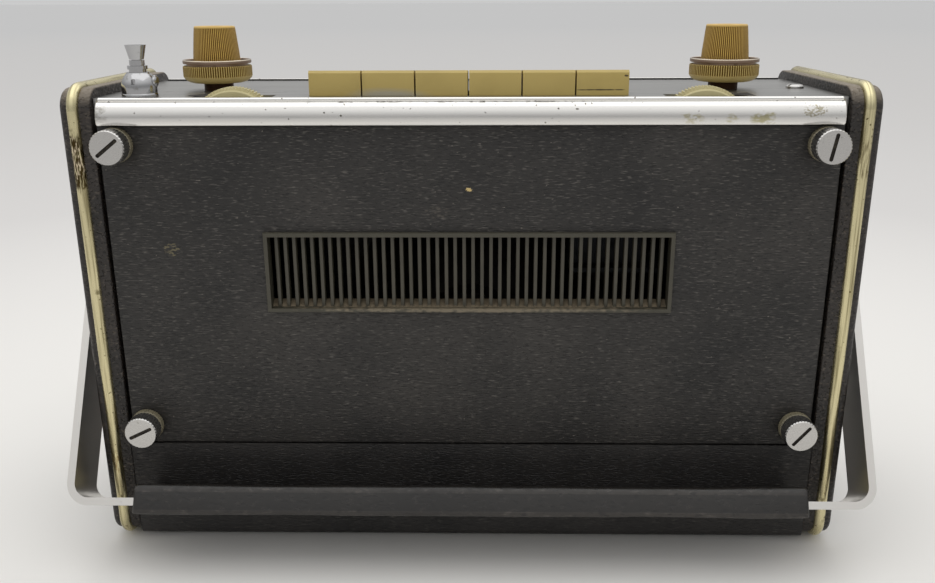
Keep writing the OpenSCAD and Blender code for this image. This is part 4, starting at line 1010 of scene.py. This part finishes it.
@dataclass
class RearCover:
    """Removable cover with its vent and four thumb screws."""

    half: float = 137.7
    low: float = 43.1
    top: float = 172.1
    thick: float = 4.0
    vent_half: float = 78.25
    vent_low: float = 100.05
    vent_top: float = 131.8
    vent_lip: float = 0.7
    vent_wall: float = 0.9
    vent_proud: float = 2.0
    slats: int = 44
    slat_pitch: float = 3.4378
    slat_wide: float = 1.4
    slat_back: float = 0.8
    screw_x: float = 131.0
    screw_z: tuple[float, float] = (51.4, 165.1)
    slot_turns: tuple[float, float, float, float] = (26.0, 38.0, 50.0, 80.0)
    collar: tuple[float, float] = (13.2, 3.0)
    head: tuple[float, float] = (13.0, 6.4)
    slot: Triple = (10.2, 1.4, 0.9)
    knurls: tuple[int, int] = (32, 40)

    def through(self, name: str, inset: float) -> Piece:
        """Gives a cutter that goes through the cover, so many millimetres inside the vent's outline."""
        side = self.vent_half - inset
        return block(name, (-side, -9, self.vent_low + inset), (side, 9, self.vent_top - inset))

    def board(self) -> Piece:
        """Models the cover board with the opening for its vent."""
        board = block("rear_cover_board", (-self.half, 0, self.low), (self.half, self.thick, self.top))
        rounded(board, 0.8, 3, lambda middle, _way: middle.y < NEAR)
        hole = self.through("vent_hole", self.vent_lip - NEAR)
        return fit(closed(cut(board, hole)), COVER_CLOTH, "case", ["rear_cover"])

    def vent(self) -> Piece:
        """Models the vent: a flanged frame and a row of rounded slats."""
        side, lip = self.vent_half, self.vent_lip
        wall = lip + self.vent_wall
        flange = block("vent_flange", (-side, -self.vent_proud, self.vent_low), (side, 0, self.vent_top))
        rounded(flange, 0.35, 2, lambda middle, _way: middle.y < NEAR - self.vent_proud)
        sleeve = block(
            "vent_sleeve", (lip - side, -0.4, self.vent_low + lip),
            (side - lip, self.thick, self.vent_top - lip),
        )
        for part in (flange, sleeve):
            cut(part, self.through("vent_gap", wall))
        first = -(self.slats - 1) / 2 * self.slat_pitch
        slat = block(
            "vent_slat", (first - self.slat_wide / 2, self.slat_back, self.vent_low + wall - 0.4),
            (first + self.slat_wide / 2, self.thick, self.vent_top - wall + 0.4),
        )
        rounded(slat, 0.3, 2, lambda middle, way: middle.y < self.slat_back + NEAR and along(way.z))
        row(slat, self.slats, self.slat_pitch)
        foot = self.vent_low + wall
        slope = [(1.0, foot - 0.3), (1.0, foot + 0.1), (self.thick, foot + 2.3), (self.thick, foot - 0.3)]
        sill = drawn("vent_sill", slope, -side + wall - 0.3, side - wall + 0.3)
        sill.data.materials.append(DUST.material())
        for part in (flange, sleeve, slat):
            part.data.materials.append(VENT_PLASTIC.material())
        frame_piece = joined("vent_frame", [flange, sleeve, slat, sill])
        return fit(closed(frame_piece), VENT_PLASTIC, "case", ["vent_grille"])

    def screws(self) -> None:
        """Models one thumb screw and its collar, and puts a copy of both at each corner."""
        wide, foot = self.head[0] / 2, self.collar[1]
        top = foot + self.head[1]
        steps = [(wide - 0.5, foot), (wide, foot + 0.4), (wide, foot + 2.2), (wide, top - 0.5)]
        head = turned("screw", [*steps, (wide - 0.4, top)], 3 * self.knurls[0])
        fluted(head, self.knurls[0], foot + 0.2, top - 0.2, wide - 0.9, 0.035)
        long, across, deep = self.slot
        tool = block(
            "slot_tool", (-long / 2, -across / 2, top - deep), (long / 2, across / 2, top + 1), ORIGIN,
        )
        rounded(tool, 0.6, 3, lambda _middle, way: along(way.z), ORIGIN)
        closed(cut(head, tool))
        two_tone(head, NICKEL, SLOT_GRIME, lambda middle, _way: abs(middle.y) < across / 2 + 0.02
                 and abs(middle.x) < long / 2 + 0.02 and top - deep - 0.02 < middle.z < top - 0.05, ORIGIN)
        wide = self.collar[0] / 2
        steps = [(wide - 0.2, 0), (wide, 0.3), (wide, 1.5), (wide, foot - 0.35), (wide - 0.5, foot)]
        collar = turned("collar", steps, 3 * self.knurls[1])
        fluted(collar, self.knurls[1], -0.1, foot - 0.2, wide - 0.6, 0.022)
        models = (
            (head, "cover_screw", NICKEL, "nickel"), (collar, "cover_collar", OLIVE_BRASS, "olive_brass"),
        )
        for index, turn in enumerate(self.slot_turns):
            side, row = (-1, 1)[index // 2], index % 2
            place = spot(side * self.screw_x, 0, self.screw_z[row])
            for model, label, finish, slot in models:
                copy = twin(model, f"{label}_{index + 1}")
                settle(copy, turn=(0.0, 0.0, math.radians(turn)))
                settle(copy, place, Axis.BACK.value)
                fit(copy, finish, "case", [label + "s"])
        for model in (head, collar):
            bpy.data.objects.remove(model)

    def build(self) -> None:
        """Builds the cover, its vent and its screws."""
        self.board()
        self.vent()
        self.screws()


@dataclass
class Deck:
    """Control deck with its two mouldings, its screws and its printed marks."""

    half: float = 136.5
    low: float = 172.4
    top: float = 181.8
    face_middle: tuple[float, float] = (5.78, 174.6)
    face_round: float = 8.98
    lip_middle: tuple[float, float] = (0.0, 181.4)
    lip_round: float = 0.85
    lip_short: float = 0.65
    lip_foot: float = 180.7
    mark_x: tuple[float, float] = (98.6, 106.2)
    mark_y: tuple[float, float] = (6.8, 19.5)
    mark_point: tuple[float, float] = (13.0, 0.3)
    shade_strip_y: tuple[float, float] = (81.3, 82.1)
    shade_strip_high: float = 0.55
    back: float = 3.0
    screw_place: tuple[float, float] = (130.0, 38.0)
    screw_steps: Profile = ((3.4, -0.2), (3.5, 0.3), (3.4, 0.8), (2.9, 1.3), (2.0, 1.55), (0.8, 1.6))

    def rear_trim(self) -> Piece:
        """Models the rear moulding: a swelling face under a small rolled lip, both eased at the ends."""
        face = arc(self.face_middle, self.face_round, 191.5, 138.4, 16)
        lip = arc(self.lip_middle, self.lip_round, 222.0, 62.0, 10)
        foot, groove = [(self.back, self.low), (-2.7, self.low)], [(-0.25, 180.6), (-0.25, 180.85)]
        outline = [*foot, *face, *groove, *lip, (self.back, 181.95)]
        trim = drawn("rear_trim_moulding", outline, -self.half, self.half)
        with editing(trim):
            for side in Side:
                end = self.half - NEAR
                choose(trim, Kind.VERT, lambda middle, _way: middle.x * side.value > end
                       and middle.z > self.lip_foot)
                bpy.ops.transform.translate(value=(-side.value * mm(self.lip_short), 0, 0))
        rounded(trim, 0.5, 3, lambda middle, way: abs(middle.x) > self.half - 2
                and abs(way.x) < 0.6 and middle.y < 1.5)
        return fit(closed(trim, 40.0), TRIM_POLISH, "case", ["rear_trim"])

    def screws(self) -> None:
        """Models the two slotted pan head screws of the deck."""
        head = turned("deck_screw", self.screw_steps, 48)
        tool = block("slot_tool", (-4, -0.4, 0.9), (4, 0.4, 3), ORIGIN)
        closed(cut(head, tool))
        for side in Side:
            copy = twin(head, f"deck_screw_{side.name.lower()}")
            settle(copy, turn=(0.0, 0.0, 0.5))
            settle(copy, spot(side.value * self.screw_place[0], self.screw_place[1], self.top))
            fit(copy, NICKEL, "case", ["deck_screws"])
        bpy.data.objects.remove(head)

    def marks(self) -> None:
        """Prints a plain wedge beside each thumbwheel, which stands for less and more."""
        for side in Side:
            near, far = sorted(side.value * x for x in self.mark_x)
            low, high = (near, self.mark_y[0], self.top - 0.05), (far, self.mark_y[1], self.top + 0.03)
            mark = block(f"deck_mark_{side.name.lower()}", low, high)
            with editing(mark):
                choose(mark, Kind.EDGE, lambda middle, way: along(way.y) and middle.x < near + 0.1)
                middle, share = self.mark_point
                bpy.ops.transform.resize(value=(1, share, 1), center_override=spot(near, middle, self.top))
            fit(closed(mark), INK, "case")

    def shade_strip(self) -> Piece:
        """Models a dark strip along the joint between the deck and the front moulding: painted shade and
        dark reflection where the moulding meets the deck.
        """
        near, far = self.shade_strip_y
        top = self.top + self.shade_strip_high
        strip = block("deck_shade_strip", (-self.half, near, self.top - 0.05), (self.half, far, top))
        rounded(strip, 0.15, 2, lambda middle, way: along(way.x) and middle.z > top - NEAR)
        return fit(closed(strip), RUBBER, "case")

    def build(self) -> None:
        """Builds the mouldings, the screws, the marks and the strip of painted shade, and dresses the
        plate.
        """
        self.rear_trim()
        self.screws()
        self.marks()
        self.shade_strip()
        dress("front_trim", TRIM_POLISH)
        dress("deck_plate", DECK_BRUSHED)


@dataclass
class KeyBank:
    """Six push keys, their frame and springs."""

    keys: int = 6

    def build(self) -> None:
        """Dresses the keys, the last with its crack, and what guides them."""
        for number in range(1, self.keys + 1):
            dress(f"key_{number}", CRACKED_KEY if number == self.keys else KEY_PLASTIC, 0.45)
        dress("key_frame", SHADED_ZINC)
        dress("key_springs", DARK_STEEL)


@dataclass
class KnobPair:
    """Two knobs on one centre: a low fluted knob with a metal ring, and a tall one through it."""

    side: Side
    low_name: str
    top_name: str
    x: float = 101.25
    y: float = 38.0
    low_foot: float = 184.8
    low_head: float = 191.4
    low_wide: float = 27.0
    ring_head: float = 193.7
    ring_wide: float = 26.8
    ring_bore: float = 19.8
    top_foot: float = 194.0
    top_head: float = 206.5
    top_wide: tuple[float, float] = (18.4, 15.9)
    dish: tuple[float, float] = (12.4, 1.2)
    skirt: float = 1.1
    flutes: tuple[int, int] = (92, 72)
    cup_steps: Profile = (
        (1.4, 1.55), (0.2, 1.5), (0.0, 1.3), (0.0, 0.35), (0.15, 0.1), (0.4, 0.0), (0.65, 0.15), (0.8, 0.5),
        (0.9, 1.1),
    )
    bowl_steps: Profile = ((3.4, 0.0), (2.2, 0.35), (1.1, 1.0), (0.35, 1.8), (0.0, 2.5))

    def low_knob(self) -> Piece:
        """Models the low knob: a bowl below and a fluted wall above."""
        wide, foot, head = self.low_wide / 2, self.low_foot, self.low_head
        bowl = [(wide - inset, foot + rise) for inset, rise in self.bowl_steps]
        wall = [(wide, foot + 2.7), (wide, head - 0.9), (wide, head - 0.35), (wide - 0.45, head),
                (self.ring_bore / 2 + 0.5, head)]
        knob = turned(self.low_name + "_body", bowl + wall, 3 * self.flutes[0])
        fluted(knob, self.flutes[0], foot + 2.6, head - 0.1, wide - 0.6, 0.045)
        # The flutes' slopes take the darker finish: painted shade
        return two_tone(knob, OLIVE_PLASTIC, OLIVE_FLUTE_SHADE, in_flute, ORIGIN)

    def ring(self) -> Piece:
        """Models the metal ring on the low knob: a shallow cup with a thin bright rim."""
        wide, foot, head, bore = self.ring_wide / 2, self.low_head, self.ring_head, self.ring_bore / 2
        cup = [(wide - inset, head - fall) for inset, fall in self.cup_steps]
        steps = [(wide - 1.4, foot - 0.05), *cup, (bore, head - 1.2), (bore - 1.0, head - 1.2)]
        ring = turned(self.low_name + "_ring", steps, 120)
        return two_tone(ring, RING_NICKEL, RING_BROWN, lambda middle, _way: middle.z < head - 0.3, ORIGIN)

    def top_knob(self) -> Piece:
        """Models the tall knob: tapered, finely fluted, with a plain rim and a dished top."""
        low, high = (w / 2 for w in self.top_wide)
        foot, head = self.top_foot, self.top_head
        dish, deep = self.dish[0] / 2, self.dish[1]
        steps = [(low - 0.5, foot - self.skirt), (low, foot - self.skirt + 0.3)]
        for share in (0.2, 0.4, 0.6, 0.8):
            steps.append((low + (high - low) * share, foot + (head - foot) * share))
        steps += [(high + 0.05, head - 0.9), (high + 0.05, head - 0.75), (high, head - 0.3),
                  (high - 0.35, head), (dish + 0.6, head), (dish, head - 0.25),
                  (dish - 0.8, head - deep * 0.75), (dish * 0.4, head - deep)]
        knob = turned(self.top_name + "_body", steps, 3 * self.flutes[1])
        fluted(knob, self.flutes[1], foot - self.skirt + 0.2, head - 0.85, high - 1.0, 0.05)
        # The flutes' slopes take the darker finish: painted shade
        return two_tone(knob, OCHRE_PLASTIC, OCHRE_FLUTE_SHADE, in_flute, ORIGIN)

    def build(self) -> None:
        """Builds both knobs and the ring, and puts them on their shafts."""
        place = spot(self.side.value * self.x, self.y, 0)
        low_body, top_body = self.low_name, self.top_name
        fit(settle(self.low_knob(), place), OLIVE_PLASTIC, low_body, [low_body + "_knob"])
        fit(settle(self.ring(), place), RING_NICKEL, low_body, [low_body + "_ring"])
        fit(settle(self.top_knob(), place), OCHRE_PLASTIC, top_body, [top_body + "_knob"])
        for shaft in (low_body, top_body):
            dress(shaft + "_shaft", BRASS)


@dataclass
class Thumbwheels:
    """Two toothed wheels that stand out of slots in the deck."""

    x: float = 88.0
    axle: float = 168.0
    rear: float = 6.2
    front: float = 13.8
    wide: float = 34.6
    teeth: int = 84
    rim_steps: Profile = ((4.4, 0.8), (4.0, 0.0), (1.6, 0.0), (1.2, 0.35), (1.1, 1.2), (0.0, 1.5))

    def wheel(self, name: str) -> Piece:
        """Models one wheel: a toothed rim between two plain shoulders, with a sunk face."""
        rim, deep = self.wide / 2, self.front - self.rear
        half = [(3.2, 0.8), *((rim - inset, rise) for inset, rise in self.rim_steps)]
        far = [(r, deep - z) for r, z in reversed(half)]
        wheel = turned(name, half + far, 3 * self.teeth)
        return fluted(wheel, self.teeth, 1.4, deep - 1.4, rim - 0.5, 0.04)

    def build(self) -> None:
        """Builds both wheels on their axles."""
        for side, name in ((Side.LEFT, "bass"), (Side.RIGHT, "treble")):
            wheel = self.wheel(f"{name}_thumbwheel")
            settle(wheel, spot(side.value * self.x, self.front, self.axle), Axis.BACK.value)
            fit(wheel, WHEEL_PLASTIC, name, [f"{name}_wheel"])
        dress("wheel_controls", SHADED_ZINC)


@dataclass
class Aerial:
    """Telescopic aerial in a domed base on the deck."""

    x: float = -123.5
    y: float = 10.2
    deck: float = 181.8
    base_top: float = 190.72
    dome_steps: Profile = (
        (6.6, 0.0), (6.7, 0.3), (6.65, 1.0), (6.45, 1.3), (6.5, 3.0), (6.45, 4.4), (6.25, 5.4), (5.85, 6.4),
        (5.3, 7.3), (4.7, 8.1), (4.2, 8.6),
    )

    def base(self) -> Piece:
        """Models the dome: a drum with a step, sloping shoulders and a small hole at the back."""
        z = self.deck
        steps = [(wide, z + rise) for wide, rise in self.dome_steps]
        dome = turned("aerial_dome", [*steps, (4.1, self.base_top)])
        tool = block("hole_tool", (-0.8, -8, z + 4.7), (0.8, -5.0, z + 6.8), ORIGIN)
        rounded(tool, 0.5, 3, lambda middle, way: along(way.y) and middle.z > z + 6, ORIGIN)
        cut(dome, tool)
        screw = turned("aerial_pivot", [(2.0, 0), (2.2, 0.3), (2.2, 1.0), (1.6, 1.4)], 32)
        settle(screw, Vector((mm(5.6), 0, mm(z + 5.6))), Axis.RIGHT.value)
        return closed(joined("aerial_dome", [dome, screw]))

    def build(self) -> None:
        """Builds the dome and dresses the mast's sections."""
        place = spot(self.x, self.y, 0)
        fit(settle(self.base(), place), CHROME, "case", ["aerial_base"])
        for node in ("aerial_guide", "mast_lower", "mast_middle", "mast_tip"):
            dress(node, CHROME)


@dataclass
class Handle:
    """Carrying handle: a flat bar bent into a U, its padded grip and its pivots."""

    pivot: tuple[float, float] = (46.0, 123.4)
    lean: float = 30.663
    grip_half: float = 131.45
    grip_middle: tuple[float, float] = (-12.904, 24.049)
    grip_wide: float = 25.5
    grip_thick: float = 12.0
    grip_round: float = 2.4
    grip_cuts: int = 70
    wave_size: float = 34.0
    wave_depth: float = 0.9
    wave_level: float = 0.62
    cheek_out: float = 151.0
    pivot_steps: Profile = (
        (10.0, 0.0), (10.0, 3.5), (9.4, 4.2), (4.4, 4.2), (4.4, 7.8), (7.3, 7.8), (7.5, 8.1), (7.5, 9.5),
        (6.9, 10.1), (5.0, 10.3),
    )

    def grip(self) -> Piece:
        """Models the grip: leatherette drawn over a soft core, a little uneven along its length."""
        half, wide, thick = self.grip_half, self.grip_wide / 2, self.grip_thick / 2
        grip = block("grip_sleeve", (-half, -wide, -thick), (half, wide, thick), ORIGIN)
        rounded(grip, self.grip_round, 4, lambda middle, way: along(way.x) and middle.z > 0, ORIGIN)
        rounded(grip, 1.0, 3, lambda middle, way: along(way.x) and middle.z < 1 - thick, ORIGIN)
        # Painted highlight: faces along the top crease and the lower edge of the rear side take the lighter
        # cloth
        two_tone(grip, GRIP_CLOTH, GRIP_HIGHLIGHT_CLOTH, lambda middle, way: middle.y < 0
                 and (min(-way.y, -way.z) > 0.1 or 0.1 < way.z < 0.35), ORIGIN)
        with editing(grip):
            choose(grip, Kind.EDGE, lambda _middle, way: along(way.x), ORIGIN)
            bpy.ops.mesh.subdivide(number_cuts=self.grip_cuts)
        rounded(grip, 1.2, 3, lambda middle, way: abs(middle.x) > half - NEAR and square(way.x), ORIGIN)
        wave = bpy.data.textures.new("grip_wave", "CLOUDS")
        wave.noise_scale, wave.noise_depth = mm(self.wave_size), 1
        finished(grip, "DISPLACE", texture=wave, texture_coords="LOCAL", strength=mm(self.wave_depth),
                 mid_level=self.wave_level)
        finished(grip, "SMOOTH", factor=0.5, iterations=2)
        settle(grip, spot(0, *self.grip_middle), (math.radians(-self.lean), 0.0, 0.0))
        return closed(grip, 60.0)

    def pivots(self) -> None:
        """Models the pivot on each cheek: a stepped boss, its pin and a slotted head."""
        for side, axis in ((Side.LEFT, Axis.LEFT), (Side.RIGHT, Axis.RIGHT)):
            pivot = turned(f"pivot_{side.name.lower()}", self.pivot_steps)
            closed(cut(pivot, block("slot_tool", (-5.2, -0.7, 9.3), (5.2, 0.7, 12), ORIGIN)))
            settle(pivot, spot(side.value * self.cheek_out, *self.pivot), axis.value)
            fit(pivot, NICKEL, "case", ["handle_pivots"])

    def build(self) -> None:
        """Builds the grip and the pivots, and dresses the strap."""
        dress("handle_strap", STRAP_SATIN)
        grip = fit(self.grip(), GRIP_CLOTH, "handle", ["handle_grip"])
        self.pivots()


@dataclass
class Front:
    """Loudspeaker side: grille bars over cloth, and the dial with its scale and pointer."""

    cloth_low: Triple = (-130.4, 86.5, 8.8)
    cloth_high: Triple = (130.4, 87.1, 136.6)
    scale_face: float = 83.5
    numbers: tuple[str, ...] = ("55", "60", "70", "80", "100", "120", "140", "160")
    ticks: int = 41
    reach: float = 80.0
    tick_z: tuple[float, float] = (155.2, 158.4)
    line_z: tuple[float, float] = (154.2, 154.7)
    number_foot: float = 160.4
    number_high: float = 6.2
    marks: list[Piece] = field(default_factory=list)

    def cloth(self) -> Piece:
        """Models the grille cloth as one stretched sheet with its edges turned back."""
        sheet = block("grille_cloth_sheet", self.cloth_low, self.cloth_high)
        with editing(sheet):
            choose(sheet, Kind.EDGE, lambda _middle, way: square(way.y))
            bpy.ops.mesh.subdivide(number_cuts=11)
        edge = self.cloth_high[0] - 0.1
        rounded(sheet, 0.15, 1, lambda middle, way: square(way.y) and abs(middle.x) > edge)
        return closed(sheet)

    def scale(self) -> Piece:
        """Prints the dial: a row of plain numbers over a row of ticks."""
        step = 2 * self.reach / (self.ticks - 1)
        face = self.scale_face
        low, high = face - 0.1, face + 0.08
        foot, head = self.tick_z
        tick = block("dial_ticks", (-self.reach - 0.2, low, foot), (-self.reach + 0.2, high, head))
        rounded(tick, 0.04, 1, lambda middle, _way: middle.y > face)
        row(tick, self.ticks, step)
        foot, head = self.line_z
        line = block("dial_line", (-self.reach - 3, low, foot), (self.reach + 3, high, head))
        self.marks = [tick, line]
        for index, number in enumerate(self.numbers):
            x = self.reach - 2 * self.reach * index / (len(self.numbers) - 1)
            bpy.ops.object.select_all(action="DESELECT")
            bpy.ops.object.text_add()
            text = bpy.context.object
            text.data.body, text.data.size, text.data.extrude = number, mm(self.number_high), mm(0.09)
            text.data.align_x, text.data.align_y = "CENTER", "BOTTOM"
            only(text)
            bpy.ops.object.convert(target="MESH")
            text = taken(f"dial_number_{number}")
            self.marks.append(settle(text, spot(x, face, self.number_foot), (math.pi / 2, 0.0, math.pi)))
        return closed(joined("dial_print", self.marks))

    def build(self) -> None:
        """Builds the cloth and the print, and dresses the rest of the front."""
        sheet = fit(self.cloth(), GRILLE_CLOTH, "case", ["grille_cloth"])
        fit(self.scale(), INK, "case", ())
        dress("speaker_grille", GRILLE_METAL)
        dress("dial_bezel", BEZEL_PLASTIC, 0.5)
        dress("dial_window", PANE)
        dress("dial_scale", SCALE_PAINT)
        dress("dial_pointer", POINTER_RED)


@dataclass
class Inside:
    """Everything behind the boards: drive, loudspeaker, board, aerial rod and cells."""

    finishes: Mapping[str, Finish] = field(default_factory=lambda: {
        "chassis_brackets": SHADED_ZINC, "control_bushes": BUSH_BRONZE, "cord_pulleys": BRASS,
        "drive_cord": CORD_FIBRE, "tuning_drum": DRUM_PLASTIC, "tuning_capacitor": SHADED_ZINC,
        "speaker_basket": DARK_STEEL, "speaker_cone": CONE_PAPER, "circuit_board": BOARD_PAPER,
        "ferrite_rod": FERRITE, "battery_tray": TRAY_PLASTIC, "batteries": CELL_CAN,
    })

    def build(self) -> None:
        """Dresses each inner node."""
        for node, finish in self.finishes.items():
            dress(node, finish)


# Studio


@dataclass
class Studio:
    """Camera of the photograph, plain pale floor and soft light from above."""

    camera_place: Triple = (6.3, -343.0, 215.6)
    pan: float = 1.13
    tilt: float = 72.61
    roll: float = -0.25
    lens: float = 35.73
    sensor: float = 36.0
    clip: tuple[float, float] = (0.01, 100.0)
    floor: str = "#e8e6e2"
    bend: str = "#d4d2d0"
    wall: str = "#cbcbcb"
    bend_reach: tuple[float, float] = (0.28, 0.75)
    wall_reach: tuple[float, float] = (0.8, 8.0)
    floor_size: float = 1200.0
    floor_rough: float = 0.9
    sky: tuple[float, float] = (0.4, 1.0)
    sky_rise: tuple[float, float] = (0.12, 0.65)
    far: float = 0.59
    lamp_size: float = 1.4
    lamp_power: float = 3.6
    lamp_place: Triple = (0.0, 0.04, 1.05)
    lamp_aim: Triple = (0.0, 0.0, 0.1)

    def camera(self) -> None:
        """Puts the camera where the photograph was taken from."""
        data = bpy.data.cameras.new("camera")
        data.sensor_width, data.lens = self.sensor, self.lens
        data.clip_start, data.clip_end = self.clip
        camera = bpy.data.objects.new("camera", data)
        bpy.context.scene.collection.objects.link(camera)
        turns = ((self.pan, "Z"), (self.tilt, "X"), (self.roll, "Z"))
        matrix = Matrix.Translation(spot(*self.camera_place))
        for angle, axis in turns:
            matrix = matrix @ Matrix.Rotation(math.radians(angle), 4, axis)
        camera.matrix_world = matrix
        bpy.context.scene.camera = camera

    def ground(self) -> None:
        """Lays the floor, which greys towards the wall behind."""
        bpy.ops.object.select_all(action="DESELECT")
        bpy.ops.mesh.primitive_plane_add(size=self.floor_size)
        floor = taken("floor")
        on = Shader.start("paper_sweep")
        far = on.vector("LENGTH", on.coords).outputs["Value"]
        colour = on.blend(on.ramp(far, *self.bend_reach), self.floor, self.bend)
        colour = on.blend(on.ramp(far, *self.wall_reach), colour, self.wall)
        feed(on.tree, on.skin, {"Base Color": colour, "Roughness": self.floor_rough})
        floor.data.materials.append(on.material)

    def light(self) -> None:
        """Sets a soft sky, brighter overhead than at the horizon, and one broad lamp above the radio."""
        world = bpy.data.worlds.new("studio")
        bpy.context.scene.world = world
        world.use_nodes = True
        tree = world.node_tree
        base = tree.nodes["Background"]
        base.inputs["Color"].default_value = linear("#ffffff")
        height = add_node(tree, "SeparateXYZ", {0: add_node(tree, "TexCoord").outputs["Generated"]})
        (start, end), (low, high) = self.sky_rise, self.sky
        rise = {"From Min": start, "From Max": end, "To Min": low, "To Max": high}
        glow = add_node(tree, "MapRange", {"Value": height.outputs["Z"], **rise}).outputs[0]
        seen = add_node(tree, "LightPath").outputs["Is Camera Ray"]
        shown = add_node(tree, "Mix", {0: seen, 2: glow, 3: self.far}, data_type="FLOAT")
        tree.links.new(shown.outputs[0], base.inputs["Strength"])
        lamp = bpy.data.lights.new("softbox", "AREA")
        lamp.shape, lamp.size, lamp.energy = "SQUARE", self.lamp_size, self.lamp_power
        box = bpy.data.objects.new("softbox", lamp)
        bpy.context.scene.collection.objects.link(box)
        box.location = self.lamp_place
        box.rotation_euler = (Vector(self.lamp_aim) - box.location).to_track_quat("-Z", "Y").to_euler()

    def build(self) -> None:
        """Builds the camera, the floor and the light."""
        bpy.context.scene.view_settings.view_transform = "Standard"
        self.camera()
        self.ground()
        self.light()


def main() -> None:
    """Builds the studio and the radio's sub-assemblies in order."""
    logging.basicConfig(level=logging.INFO, format="%(message)s")
    parts = [
        Studio(), Case(), RearCover(), Deck(), KeyBank(),
        KnobPair(Side.LEFT, "tone", "volume"), KnobPair(Side.RIGHT, "tuning", "fine_tuning"),
        Thumbwheels(), Aerial(), Handle(), Front(), Inside(),
    ]
    for part in parts:
        part.build()


if __name__ == "__main__":
    main()
